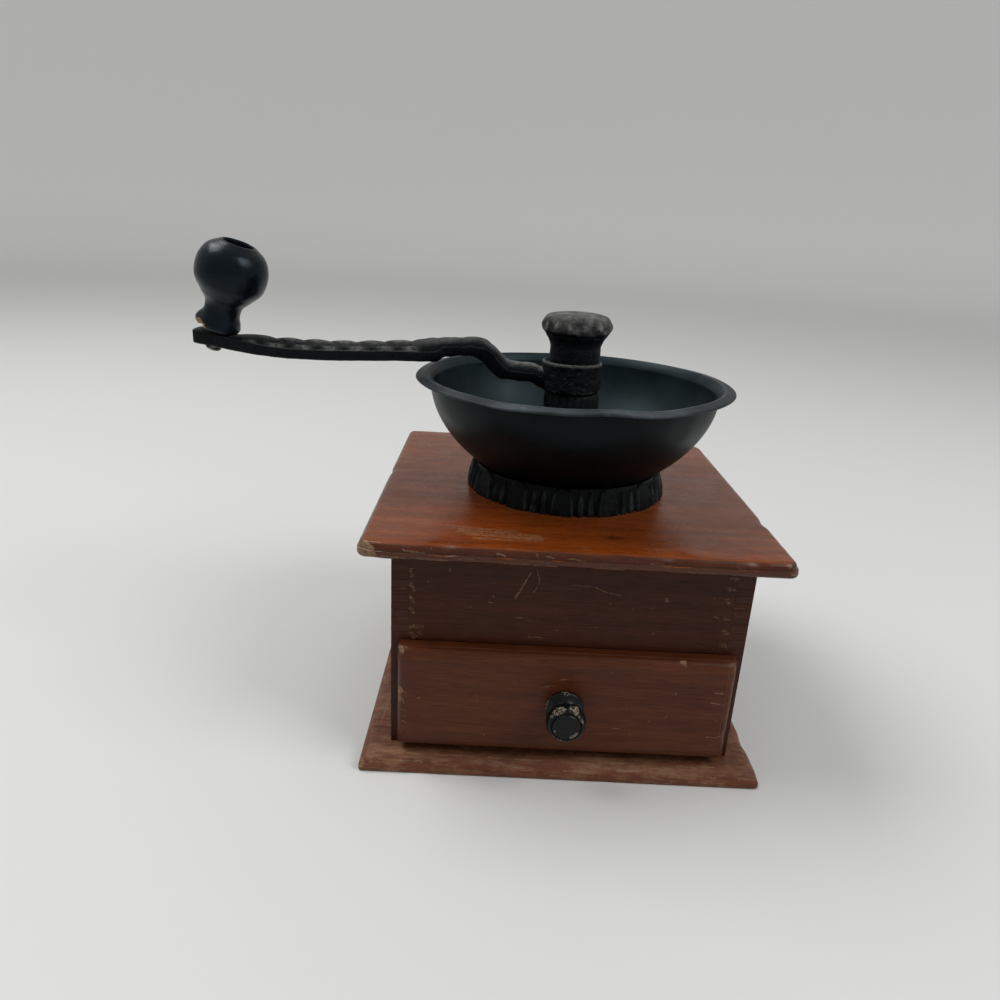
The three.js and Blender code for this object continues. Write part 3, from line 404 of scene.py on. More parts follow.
def edge_wear_group():
    """How bare wood is: ragged along its box's edges, in small dings, and where it was knocked."""
    tree, graph, given, result = new_group(
        "edge wear", [("Place", "Vector"), ("Along", "Vector"), ("Centre", "Vector"),
                      ("Half", "Vector"), ("Wear", "Float"), ("Knocks", "Float")],
        [("Bare", "Float")])
    place, along, centre, half, wear, knocks = [given.outputs[i] for i in range(6)]
    reach = edge_distance(graph, place, centre, half)
    ragged = graph.noise(along, 1.6, 3, 0.65)
    worn = graph.minus(graph.plus(ragged, wear), graph.times(reach, 0.22))
    bare = graph.span(worn, 0.62, 0.74)
    dings = graph.span(graph.noise(graph.wobble(place, 6, 2), 2.1, 1, 0.4), 0.765, 0.8)
    bare = graph.larger(bare, graph.times(dings, 0.35))
    knocked = graph.plus(knocks, graph.times(ragged, 0.5))
    graph.put(graph.larger(bare, graph.span(knocked, 0.62, 0.72)), result.inputs[0])
    return tree


def casting_group():
    """Painted casting: lumps and pits, dust in patches, and paint rubbed pale where worn."""
    tree, graph, given, result = new_group(
        "casting", [("Place", "Vector"), ("Worn", "Float"), ("Paint", "Color"),
                    ("Dusty", "Color"), ("Rubbed", "Color")],
        [("Color", "Color"), ("Height", "Float"), ("Lumps", "Float")])
    place, worn, paint, dusty, rubbed = [given.outputs[i] for i in range(5)]
    fine = graph.noise(place, 0.55, 3, 0.6)
    lumps = graph.noise(place, 2.4, 2)
    pits = graph.span(graph.noise(place, 1.1, 1), 0.3, 0.4, 1, 0)
    rub = graph.times(worn, graph.span(lumps, 0.25, 0.6, 0.35, 1))
    rub = graph.times(rub, graph.span(fine, 0.25, 0.6, 0.5, 1))
    dust = graph.span(graph.noise(place, 7, 4, 0.6), 0.42, 0.78)
    colour = graph.mix(graph.times(dust, 0.6), paint, dusty)
    graph.put(graph.mix(rub, colour, rubbed), result.inputs[0])
    graph.put(graph.minus(graph.plus(fine, lumps), pits), result.inputs[1])
    graph.put(lumps, result.inputs[2])
    return tree


def chipped_paint_group():
    """Paint over turned wood, flaked off to the wood where the mesh's mask is high."""
    tree, graph, given, result = new_group(
        "chipped paint", [("Place", "Vector"), ("Mask", "Float"), ("Flake scale", "Float"),
                          ("Chipped", "Float"), ("Deep", "Color"), ("Paint", "Color"),
                          ("Old wood", "Color"), ("Wood", "Color")],
        [("Color", "Color"), ("Height", "Float"), ("Bare", "Float")])
    place, mask, scale, chipped, deep, paint, old_wood, pale = [given.outputs[i] for i in range(8)]
    ragged = graph.noise(place, None, 5, 0.72, scale)
    bare = graph.span(graph.plus(mask, ragged), chipped, graph.plus(chipped, 0.05))
    fibre = graph.noise(graph.stretched(place, (1, 1, 0.3)), 0.4, 4, 0.7)
    raw = graph.mix(graph.span(fibre, 0.3, 0.7), old_wood, pale)
    colour = graph.mix(graph.noise(place, 12, 3), deep, paint)
    graph.put(graph.mix(bare, colour, raw), result.inputs[0])
    height = graph.minus(graph.noise(place, 3.5, 3), graph.times(bare, 1.5))
    graph.put(height, result.inputs[1])
    graph.put(bare, result.inputs[2])
    return tree


def tarnish_group():
    """Bare metal with darker clouds and a fine grit."""
    tree, graph, given, result = new_group(
        "tarnish", [("Place", "Vector"), ("Metal", "Color"), ("Dark", "Color")],
        [("Color", "Color"), ("Cloud", "Float"), ("Height", "Float")])
    place, metal, dark = [given.outputs[i] for i in range(3)]
    cloud = graph.noise(place, 3, 4, 0.6)
    graph.put(graph.mix(graph.span(cloud, 0.4, 0.7), metal, dark), result.inputs[0])
    graph.put(cloud, result.inputs[1])
    graph.put(graph.noise(place, 0.4, 2), result.inputs[2])
    return tree


STROKE = stroke_group()
GRAIN = grain_group()
EDGE_WEAR = edge_wear_group()
CASTING = casting_group()
CHIPPED_PAINT = chipped_paint_group()
TARNISH = tarnish_group()

# Marks at least WIDE_MARK across, in millimetres, show at most WIDE_MOST of the bare wood
WIDE_MARK, WIDE_MOST, THIN_MOST, MARK_SLIM = 1.4, 0.58, 0.8, 0.7


def strokes(graph, place, marks, upright):
    """One mask from (x0, v0, x1, v1, width) scratches; v is Z on an upright face, else Y."""
    x, y, z = graph.parts(graph.wobble(place, 1.6, 0.6))
    sheet = graph.joined(x, z if upright else y, 0.0)
    for x0, v0, x1, v1, width in marks:
        most = THIN_MOST if width < WIDE_MARK else WIDE_MOST
        stroke = use_group(graph, STROKE, Sheet=sheet, Start=(x0, v0, 0), End=(x1, v1, 0),
                           Width=width * MARK_SLIM, Most=most)
        sheet = stroke.outputs[0]
    mask = graph.parts(sheet)[2]
    fibres = graph.noise(graph.stretched(place, (0.3, 1, 1)), 0.3, 3, 0.7)
    torn = graph.plus(mask, graph.times(fibres, 2.0))
    return graph.times(graph.span(torn, 1.42, 1.85), graph.span(mask, 0.0, 0.2))


def facing(graph, direction, start=0.25, end=0.5):
    """1 where the surface faces a direction, 0 elsewhere."""
    made = graph.node("NewGeometry")
    turned_to = graph.vector("DOT_PRODUCT", made.outputs["Normal"], direction, "Value")
    return graph.span(turned_to, start, end)


ALONG_X = (0.045, 1.0, 1.0)
ALONG_Y = (1.0, 0.045, 1.0)
RAW_WOOD, RAW_FIBRE, BALD_WOOD = tone(168, 140, 108), tone(92, 62, 42), tone(142, 108, 80)
# GROOVE_SHADE colours a painted shade line in the step of a board's edge
GROOVE_SHADE, SMUDGE, DUST = tone(24, 10, 7), tone(30, 14, 9), tone(128, 86, 58)


def wood(name, stretch, dark, light, rough, nodes, shine, front=(), top=(), wear=0.0, haze=0.0,
         rim=(1, 1, 1, 1), dust_ring=0.0, groove=None, bald=0.0, smudges=(), tint=(1, 1, 1, 1)):
    """Stained wood over the box of the given nodes, with bare edges, dings and scratches.

    The faces that do not face up, the rounded edges too, are darkened by rim as a painted
    shade, with a painted shade line at the groove's height. A dust line lies round the axis
    at dust_ring, bald is how much stain has gone in patches, and smudges are dark (x, y,
    radius) stains."""
    made, graph, shader = new_material(name)
    place = graph.place()
    along = graph.stretched(place, stretch)
    grain = use_group(graph, GRAIN, Place=along, Dark=tone(*dark), Light=tone(*light))
    blotch = graph.span(graph.noise(place, 26, 3, 0.6), 0.3, 0.75)
    colour = graph.mix(graph.times(blotch, 0.35), grain.outputs[0], tone(*dark))
    first = Vector(np.min([low(node) for node in nodes], axis=0))
    last = Vector(np.max([high(node) for node in nodes], axis=0))
    bare = use_group(graph, EDGE_WEAR, Place=place, Along=along, Centre=(first + last) / 2,
                     Half=(last - first) / 2, Wear=wear, Knocks=graph.attribute("bare")).outputs[0]
    for marks, direction, upright in ((front, (0, -1, 0), True), (top, (0, 0, 1), False)):
        if marks:
            drawn = strokes(graph, place, marks, upright)
            drawn = graph.times(graph.times(drawn, facing(graph, direction)), 0.8)
            bare = graph.larger(bare, drawn)
    # Faces that do not face up, the rounded edges among them, are multiplied by rim as a painted
    # shade
    level = facing(graph, (0, 0, 1), 0.72, 0.97)
    colour = graph.mix(level, graph.mix(1.0, colour, rim, "MULTIPLY"), colour)
    if bald:
        thin = graph.noise(graph.stretched(place, (0.35, 1, 1)), 4.5, 6, 0.72)
        thin = graph.times(graph.span(thin, 0.44, 0.66), bald)
        colour = graph.mix(thin, colour, BALD_WOOD)
    # A painted shade line along the step in the edge, at the groove's height
    if groove:
        away = graph.math("ABSOLUTE", graph.minus(graph.parts(place)[2], groove))
        colour = graph.mix(graph.span(away, 0.12, 0.42, 0.8, 0), colour, GROOVE_SHADE)
    for x, y, radius in smudges:
        off = graph.vector("SUBTRACT", graph.wobble(place, 2.5, 1.6), (x, y, 0))
        away = graph.length(graph.vector("MULTIPLY", off, (0.5, 1, 0)))
        colour = graph.mix(graph.span(away, 0.3 * radius, radius, 0.6, 0), colour, SMUDGE)
    if dust_ring:
        x, y, _ = graph.parts(graph.wobble(place, 3, 0.15))
        squares = graph.plus(graph.math("POWER", x, 2), graph.math("POWER", y, 2))
        radius = graph.math("SQRT", squares)
        near = graph.math("ABSOLUTE", graph.minus(radius, dust_ring))
        line = graph.times(graph.span(near, 0.15, 0.35, 0.45, 0), level)
        colour = graph.mix(line, colour, DUST)
    pale = graph.mix(graph.span(grain.outputs["Fibre"], 0.3, 0.7), RAW_FIBRE, RAW_WOOD)
    colour = graph.mix(graph.times(bare, 0.66), colour, pale)
    gloss = graph.span(graph.noise(place, 9, 4, 0.6), 0.25, 0.8, rough - 0.06, rough + 0.1 + haze)
    gloss = graph.math("ADD", gloss, graph.times(bare, 0.25), clamp=True)
    height = graph.minus(grain.outputs["Height"], graph.times(bare, 1.2))
    graph.cover(shader, colour, gloss, graph.bump(height, 0.06, 0.5))
    shader.inputs["Specular IOR Level"].default_value = shine
    shader.inputs["Specular Tint"].default_value = tint
    return made


def black_casting(name, rough=0.5, grit=0.16, base=(9, 11, 14), dusty=(30, 33, 36),
                  rubbed=(104, 106, 104), shine=0.25):
    """Black paint on a rough casting, rubbed pale where the mesh's worn mask says."""
    made, graph, shader = new_material(name)
    cast = use_group(graph, CASTING, Place=graph.place(), Worn=graph.attribute("worn"),
                     Paint=tone(*base), Dusty=tone(*dusty), Rubbed=tone(*rubbed))
    gloss = graph.span(cast.outputs["Lumps"], 0.2, 0.8, rough - 0.08, rough + 0.12)
    graph.cover(shader, cast.outputs["Color"], gloss, graph.bump(cast.outputs["Height"], grit))
    shader.inputs["Specular IOR Level"].default_value = shine
    return made


PAINT_SHINE = 0.2
# BOWL_INSIDE_SHEEN paints the inside paler than the outside, a painted sheen
BOWL_OUTSIDE, BOWL_INSIDE_SHEEN = (tone(1, 3, 4), tone(5, 7, 8)), (tone(19, 28, 31), tone(29, 39, 43))
# BOWL_RUB_AND_HIGHLIGHT is rubbed paint, and on the rim's crest a painted highlight
BOWL_RUB_AND_HIGHLIGHT, BOWL_MARKED, BOWL_TINT = tone(88, 96, 102), tone(60, 62, 62), (0.5, 0.68, 0.74, 1)


def spun_black(name):
    """The bowl's satin slate coating, with turning lines, a rim rubbed pale in patches with a
    painted highlight round its crest, and a painted sheen that makes the inside paler than the
    outside.
    """
    made, graph, shader = new_material(name)
    place = graph.place()
    rings = graph.node("TexNoise", noise_dimensions="1D")
    graph.put(graph.times(graph.parts(place)[2], 1.7), rings.inputs["W"])
    rings.inputs["Scale"].default_value = 1.0
    cloud = graph.noise(place, 20, 3, 0.6)
    fine = graph.noise(place, 0.9, 2)
    cloudy = graph.span(cloud, 0.35, 0.7)
    # The inside takes the paler copy of the coating, a painted sheen
    outside, inside = [graph.mix(cloudy, *pair) for pair in (BOWL_OUTSIDE, BOWL_INSIDE_SHEEN)]
    colour = graph.mix(graph.attribute("inside"), outside, inside)
    scuff = graph.noise(graph.stretched(place, (0.5, 0.5, 1)), 1.6, 4, 0.7)
    scuff = graph.span(scuff, 0.55, 0.75)
    # The worn mask brings rubbed paint, and a painted highlight round the rim's crest
    rub = graph.times(graph.attribute("worn"), graph.span(cloud, 0.3, 0.65, 0.3, 1.0))
    rub = graph.times(rub, graph.plus(0.5, graph.times(scuff, 0.5)))
    colour = graph.mix(rub, colour, BOWL_RUB_AND_HIGHLIGHT)
    marks = graph.noise(graph.stretched(place, (1, 1, 0.35)), 3.2, 5, 0.7)
    marks = graph.span(marks, 0.66, 0.76)
    colour = graph.mix(graph.times(marks, 0.35), colour, BOWL_MARKED)
    gloss = graph.plus(graph.span(cloud, 0.3, 0.7, 0.36, 0.46), graph.times(fine, 0.06))
    height = graph.plus(graph.times(rings.outputs[0], 0.6), fine)
    graph.cover(shader, colour, gloss, graph.bump(height, 0.012))
    shader.inputs["Specular IOR Level"].default_value = PAINT_SHINE
    shader.inputs["Specular Tint"].default_value = BOWL_TINT
    return made


def gloss_black(name, rough, chipped, flake, pale, deep, tint):
    """Gloss paint on turned wood; the mesh's bare mask shows the wood under it."""
    made, graph, shader = new_material(name)
    place = graph.place()
    paint = use_group(graph, CHIPPED_PAINT, **{
        "Place": place, "Mask": graph.attribute("bare"), "Flake scale": 1 / flake,
        "Chipped": chipped, "Deep": dimmed(deep, 0.5), "Paint": tone(*deep),
        "Old wood": dimmed(pale, 0.5), "Wood": tone(*pale)})
    gloss = graph.span(graph.noise(place, 6, 4, 0.6), 0.3, 0.75, rough - 0.04, rough + 0.1)
    gloss = graph.plus(gloss, graph.times(paint.outputs["Bare"], 0.4))
    graph.cover(shader, paint.outputs["Color"], gloss, graph.bump(paint.outputs["Height"], 0.09))
    shader.inputs["Specular IOR Level"].default_value = PAINT_SHINE
    shader.inputs["Specular Tint"].default_value = tint
    return made


def steel(name, base=(120, 119, 116), rough=0.4):
    made, graph, shader = new_material(name)
    metal = use_group(graph, TARNISH, Place=graph.place(), Metal=tone(*base),
                      Dark=dimmed(base, 0.55))
    gloss = graph.span(metal.outputs["Cloud"], 0.3, 0.7, rough - 0.08, rough + 0.15)
    graph.cover(shader, metal.outputs["Color"], gloss, graph.bump(metal.outputs["Height"], 0.02))
    shader.inputs["Metallic"].default_value = 0.9
    return made


# Scratches and dings, read off the photograph as places on the wood, in millimetres

PANEL_MARKS = [
    (-22.5, 79.1, -17, 90.3, 0.9), (-22.6, 78.8, -20.9, 82.2, 1.2), (-14.8, 91.9, -13.3, 86.3, 0.6),
    (-13.4, 86, -15.4, 81.7, 0.5), (-0.2, 85.7, 8.8, 85.3, 0.5), (8.8, 85.3, 14.3, 83.1, 0.55),
    (14.3, 83.1, 19.4, 82.2, 0.5), (38, 81.8, 38.6, 80.4, 1.3), (-22.1, 69.8, -19.1, 69.7, 0.8),
    (-16.5, 61.1, -10.7, 61.2, 0.6), (-49.5, 89.8, -49.3, 89, 0.7), (-33.8, 76.2, -32, 76, 0.8),
    (-64.9, 89, -64.3, 86, 1.7), (-64.9, 82.8, -63.6, 80.2, 2.2), (-65, 77.2, -63.8, 74.6, 2),
    (-64.8, 71.6, -63.9, 70, 1.8), (-66, 63, -60, 63.4, 2.2), (-63.5, 58.8, -60.8, 60.6, 2.6),
    (-64.9, 60.4, -63.9, 59.2, 2), (62.8, 91.9, 65.6, 91.6, 1.5), (61.6, 87.4, 64.6, 86.8, 1.7),
    (62.6, 82.2, 63.4, 81, 2), (62.7, 74.2, 63.7, 73.3, 2), (63.2, 68.2, 64.3, 67.2, 2.4),
    (63, 62, 65.6, 61, 2.1), (66.4, 75.2, 69.4, 75.1, 0.5), (65.8, 78.9, 69.8, 78.8, 0.4),
    (-69.9, 66.9, -66.4, 66.9, 0.4), (-69.8, 80.3, -67.1, 80.3, 0.4),
]
DRAWER_MARKS = [
    (-10.3, 42.5, -4.6, 43.6, 0.7), (-2.7, 46.4, 0.6, 47, 0.5), (61.2, 43.9, 64.6, 43.5, 0.8),
    (60.2, 38.8, 63.9, 38.5, 0.5), (60.5, 22.1, 66.6, 22.3, 0.6), (-67.6, 37.4, -65.4, 36.4, 1.5),
    (-67.2, 34.2, -66.4, 31.6, 1), (-67, 28.4, -65.8, 27.8, 0.7), (-66.8, 25.4, -65.2, 25, 0.6),
    (-66.8, 22.6, -65.4, 22.3, 0.6), (-66.9, 19.8, -66, 19.6, 0.7), (-68.8, 56.6, -67.6, 55.6, 1.9),
    (46.8, 56, 47.8, 55.4, 1.1), (63.2, 31, 64.4, 29.8, 0.6), (-33, 18.6, -32.2, 17.8, 0.7),
    (21, 24.6, 24.2, 24.4, 0.5), (-22, 44.8, -20.6, 44.2, 0.4), (44.8, 42.6, 45.6, 42.1, 0.7),
]
TOP_MARKS = [
    (-48, -68.2, -16, -71.4, 1.1), (-44, -70.6, -13.4, -72.6, 1.35), (-36, -66, -20, -68.6, 0.9),
    (-52, -62.4, -34, -64.6, 0.8), (-19, -70, -12.2, -70.8, 2.4), (-40, -73.4, -26, -74.2, 0.9),
    (48, -45.4, 51.4, -47.2, 1), (67, -65, 70, -66.2, 1), (-74.8, 52.9, -74.2, 52.2, 1.1),
    (-76, -71, -74.4, -69.6, 1.2), (-79, -68, -77.6, -69.4, 0.8), (2, -78.4, 3.8, -79.2, 0.9),
    (-3, -56.4, 2.6, -58, 0.5), (30, -76.4, 36, -78.4, 0.5), (61, -18, 62.6, -20, 0.6),
    (-46, -66.4, -15, -69.2, 3.4), (-40, -74.2, -14, -74, 2.6), (-49, -63.6, -24, -65.4, 2.2),
]

TOP_ROUND = 3.0
BOX_NODES = ["front_panel", "left_wall", "right_wall", "back_wall"]
TOP_EDGE_MARKS = [
    (-75, 99.6, -66, 99.2, 1), (-66.5, 102.4, -58.5, 101.6, 1.1), (-62, 99.4, -50, 99, 0.9),
    (-47, 100.3, -40, 100.2, 0.5), (-31, 102.6, -27.5, 101.6, 0.7), (-28, 99, -8, 98.8, 0.8),
    (-12.5, 102.8, -9.5, 102, 0.7), (-4, 102.2, 3, 101.6, 0.6), (6, 99, 18, 98.8, 0.6),
    (27, 101.8, 35, 101.2, 0.5), (42, 99.2, 52, 98.9, 0.6), (60, 102, 63, 101.4, 0.6),
    (81, 100.5, 84, 99.5, 0.9),
]
BASE_MARKS = [
    (-80, 4.5, -72, 4.2, 1.2), (-68, 5.4, -58, 5, 1), (-50, 3, -38, 2.6, 0.8),
    (-24, 5.2, -14, 4.8, 0.8), (2, 4.6, 12, 4.2, 0.8), (24, 5.4, 33, 5.6, 1.3),
    (36, 3.4, 44, 3, 0.7), (55, 5, 66, 4.4, 0.8), (76, 4.6, 83, 4, 1.4),
]
BASE_TOP_MARKS = [
    (-78, -80, -60, -80.5, 1), (-30, -81, -8, -81.5, 0.8), (22, -80, 34, -82, 0.9),
    (50, -81, 66, -80.5, 0.7), (-79, -60, -77, -30, 1.2), (-78, 5, -80, 40, 1),
    (78, -70, 79, -40, 0.8),
]

RAW_DARK, RAW_LIGHT, WALL_LIGHT = (140, 106, 74), (184, 154, 116), (76, 38, 22)
MAT = {
    # The top board's rim darkens its sides and rounded edge as a painted shade
    "top": wood("top_wood", ALONG_X, (84, 34, 8), (146, 69, 19), 0.27, ["top_board"], 0.46,
                TOP_EDGE_MARKS, TOP_MARKS, wear=0.06, rim=(0.33, 0.21, 0.19, 1), dust_ring=47.1,
                smudges=[(15.2, -67.1, 2.8), (-77.2, 10.5, 1.8), (-60.1, 27.7, 1.6)],
                # groove puts a painted shade line in the step of the top board's edge
                groove=high("top_board").z - TOP_ROUND, tint=(1, 0.88, 0.72, 1)),
    # The base board's rim is a slight, reddish painted shade on its sides
    "base": wood("base_wood", ALONG_X, (80, 45, 30), (124, 78, 54), 0.48, ["base_board"], 0.26,
                 BASE_MARKS, BASE_TOP_MARKS, wear=0.16, haze=0.1, rim=(0.98, 0.82, 0.76, 1),
                 bald=0.55),
    "panel": wood("panel_wood", ALONG_X, (50, 23, 12), WALL_LIGHT, 0.42, BOX_NODES, 0.16,
                  PANEL_MARKS, wear=0.04, haze=0.05),
    "side": wood("side_wood", ALONG_Y, (48, 22, 12), WALL_LIGHT, 0.42, BOX_NODES, 0.2,
                 wear=0.06, haze=0.05),
    "drawer": wood("drawer_wood", ALONG_X, (64, 29, 12), (98, 50, 26), 0.38, ["drawer_front"], 0.2,
                   DRAWER_MARKS, wear=0.15),
    "raw_x": wood("raw_wood_x", ALONG_X, RAW_DARK, RAW_LIGHT, 0.6, ["drawer_back"], 0.3),
    "raw_y": wood("raw_wood_y", ALONG_Y, RAW_DARK, RAW_LIGHT, 0.6,
                  ["drawer_left_side", "drawer_right_side"], 0.3),
    "cast": black_casting("cast_black"),
    "hub": black_casting("hub_black", 0.5, 0.3, (2, 5, 10), (15, 18, 23), (118, 119, 115), 0.13),
    "collar": black_casting("collar_black", 0.42, 0.1, (2, 4, 5), (10, 14, 16), (66, 72, 74), 0.1),
    "bowl": spun_black("bowl_black"),
    "ball": gloss_black("ball_paint", 0.27, 0.93, 1.3, (186, 150, 112), (7, 14, 23),
                        (0.7, 0.88, 1, 1)),
    "pull": gloss_black("pull_paint", 0.32, 0.95, 0.8, (160, 146, 128), (10, 13, 12),
                        (1, 1, 1, 1)),
    "steel": steel("dull_steel"),
    "burr": steel("burr_steel", (92, 91, 90), 0.45),
    "pin": steel("pin_steel", (118, 117, 112), 0.4),
}


# Boards with a moulded edge

def corner_arcs(half_x, half_y, corners):
    """The four rounded corners of a rectangle, anticlockwise from the back right one."""
    points = []
    for turn, corner in enumerate(corners):
        angles = np.linspace(turn, turn + 1, 9) * TURN / 4
        ways = np.stack([np.cos(angles), np.sin(angles)], 1)
        signs = np.array([1 if turn in (0, 3) else -1, 1 if turn < 2 else -1])
        points.append(signs * (np.array([half_x, half_y]) - corner) + ways * corner)
    return points


LEAST_CORNER, EDGE_STEP = 0.4, 1.6


def board_outline(half_x, half_y, corners, inset):
    """One ring of a board, set in from its edge."""
    left = [max(corner - inset, LEAST_CORNER) for corner in corners]
    quarters = corner_arcs(half_x - inset, half_y - inset, left)
    ring = []
    for i, quarter in enumerate(quarters):
        following = quarters[(i + 1) % 4][0]
        length = (half_x if i % 2 == 0 else half_y) * 2
        count = round(length / EDGE_STEP)
        ring += list(quarter)
        ring += [quarter[-1] + (following - quarter[-1]) * k / count for k in range(1, count)]
    return np.array(ring)


def moulded(half_x, half_y, corners, edge, hole=0.0):
    """A board from (inset, height) edge steps, solid or with a round hole through it."""
    rim = board_outline(half_x, half_y, corners, 0)
    angle = np.arctan2(rim[:, 1], rim[:, 0])
    middle = np.stack([np.cos(angle), np.sin(angle)], 1) * (hole or 1.0)

    def flat(step, shares):
        ring = board_outline(half_x, half_y, corners, step[0])
        return [np.column_stack([ring * (1 - share) + middle * share, np.full(len(ring), step[1])])
                for share in shares]

    rings = flat(edge[0], (1.0, 0.7, 0.35))
    for step in edge:
        rings += flat(step, (0.0,))
    rings += flat(edge[-1], (0.1, 0.25, 0.45, 0.7, 1.0))
    return skin(rings, loop=bool(hole))


def board_edge(bottom, top, under, over, step, keep):
    """Rounded below, an upright land, then a small step and a larger round above."""
    lower = [(under * (1 - math.sin(a)), bottom + under * (1 - math.cos(a)))
             for a in np.linspace(0, math.pi / 2, 6)]
    upper = [(step + over * (1 - math.cos(a)), top - over + over * math.sin(a))
             for a in np.linspace(0, math.pi / 2, 8)]
    land = [(0, top - over - step * 0.5), (step * 0.9, top - over)]
    return [(keep, bottom)] + lower + land + upper + [(keep, top)]


# A board's roundings below and above and the step between them, then its corners seen from above
BOARD_EDGES = {"base_board": (1.0, 4.6, 0.2), "top_board": (2.2, TOP_ROUND, 0.45)}
BOARD_CORNERS = {"base_board": (1.5, 2.0, 1.5, 2.0), "top_board": (10.0, 4.0, 4.0, 4.0)}

# Dents as place, radius and push, and a corner rubbed bare as place and radius
BOARD_DENTS = {
    "base_board": [
        ((-60, -85, 5), 7, (0, 0.5, -0.5)), ((20, -85, 6), 9, (0, 0.4, -0.5)),
        ((85, -60, 6), 8, (-0.6, 0, -0.5)), ((-85, 30, 6), 10, (0.6, 0, -0.4)),
        ((84, -84, 6), 5, (-0.6, 0.6, -0.4)), ((30, 85, 6), 8, (0, -0.6, -0.3))],
    "top_board": [
        ((-81, -85, 101), 9, (0.2, 1.2, 0)), ((-84, -84, 102), 5, (0.8, 0.6, 0)),
        ((-52, -85, 103), 7, (0, 0.5, -0.8)), ((-28, -85, 103.5), 5, (0, 0.4, -0.6)),
        ((-8, -85, 103.5), 4, (0, 0.3, -0.4)), ((38, -85, 103), 8, (0, 0.4, -0.5)),
        ((68, -84, 104), 4, (0, 0.2, -0.5)), ((85, -40, 103), 8, (-0.5, 0, -0.5)),
        ((-85, 10, 103), 9, (0.5, 0, -0.4)), ((84, -84, 103), 5, (-0.6, 0.6, -0.3)),
        ((-20, 85, 103), 8, (0, -0.6, -0.4)), ((60, 85, 103), 5, (0, -0.4, -0.4))],
}
RAW_CORNERS = {"base_board": ((-85, -85, 4), 3.5), "top_board": ((-84, -87, 99), 8.5)}
BOARD_HOLES = {"base_board": 0.0, "top_board": 31.3}
BOARD_FLAT, WAVY_RUN, DENT_WEAR = 8.0, 4, 0.36
SCREW_FIT, SHANK_SHARE, SEAT_SHARE = 0.3, 0.45, 0.7


def countersink(board, screws):
    """Cut the seat of each screw's head, and the hole for its shank, up through a board."""
    verts, faces = [], []
    for screw in screws:
        start, end = low(screw), high(screw)
        middle, head = (start + end) / 2, (end.x - start.x) / 2 + SCREW_FIT
        shank, axis = head * SHANK_SHARE, 0.05
        seat = [(axis, -1), (head, -1), (head, SCREW_FIT), (shank, head * SEAT_SHARE),
                (shank, 20), (axis, 20)]
        more, rows = turned([(r, height + start.z - SCREW_FIT) for r, height in seat], 40)
        faces += [tuple(i + len(verts) for i in row) for row in rows]
        verts += list(more + np.array([middle.x, middle.y, 0]))
    tool = bpy.data.meshes.new("countersinks")
    tool.from_pydata((np.array(verts) * MM).tolist(), [], faces)
    cutter = linked("countersinks", tool)
    cut = board.modifiers.new("countersinks", "BOOLEAN")
    cut.object, cut.operation, cut.solver = cutter, "DIFFERENCE", "EXACT"
    seen = board.evaluated_get(bpy.context.evaluated_depsgraph_get())
    made = bpy.data.meshes.new_from_object(seen)
    board.modifiers.clear()
    board.data = made
    bpy.data.objects.remove(cutter)


def make_boards():
    """The base and top boards, with softened and knocked edges."""
    for name, hole in BOARD_HOLES.items():
        start, end = low(name), high(name)
        edge = board_edge(start.z, end.z, *BOARD_EDGES[name], keep=BOARD_FLAT)
        verts, faces = moulded(end.x, end.y, BOARD_CORNERS[name], edge, hole)
        near_edge = np.maximum(abs(verts[:, 0]), abs(verts[:, 1])) > end.x - WAVY_RUN
        wave = bumps(verts, 9, 1) * 0.12 + bumps(verts, 2.5, 2) * 0.05
        verts[:, 2] -= np.where(near_edge & (verts[:, 2] > start.z + 2), abs(wave), 0)
        bare = bared(verts, [RAW_CORNERS[name]], 0.8, 1.6, 1.4)
        for place, reach, push in BOARD_DENTS[name]:
            knock = bared(verts, [(place, reach)], 1, 1.1) * np.linalg.norm(push)
            bare = np.maximum(bare, knock * DENT_WEAR)
        verts = dented(verts, BOARD_DENTS[name])
        verts[:, 2] = np.maximum(verts[:, 2], start.z)
        made = piece(name + "_shape", (verts, faces), MAT["top" if hole else "base"], "box",
                     [name], masks={"bare": bare})
        if name == "base_board":
            countersink(made, [f"base_screw_{i}" for i in range(1, 5)])


FACE_PROUD, FACE_TALL, FACE_LIFT, FACE_CORNER = 7.5, 47.5, 10.0, 1.6
FACE_EASE, FACE_STEP, FACE_WAVY = 0.25, 0.45, 4.5
ROUND_FOOT, ROUND_RUN, ROUND_RISE = 3.2, 3, 2.9
FACE_FLAT = [(3.6, 0.12), (4.2, 0)]
TONGUE_IN, TONGUE_LAP = 6.1, 0.05

# Dents and bare places on the drawer's face: x, depth behind its front, z, radius, and a push
FACE_DENTS = [
    (-68.5, 1, 56, 3.2, (0.9, 0.5, -0.9)), (-68.6, 0, 37, 2.4, (0.6, 0.5, 0)),
    (69, 1, 56.4, 3.5, (-0.5, 0.4, -0.5)), (47.4, 1, 57, 2.4, (0, 0.3, -0.5)),
    (-68.8, 0, 12, 4, (0.5, 0.3, 0.4)), (69, 0, 22, 5, (-0.4, 0.4, 0)),
]
FACE_BARE = [(-69.2, 1, 57.0, 2.3), (-69.0, 1, 37, 2.0), (-69.2, 1, 33, 1.6), (47.2, 1, 57.3, 1.6)]


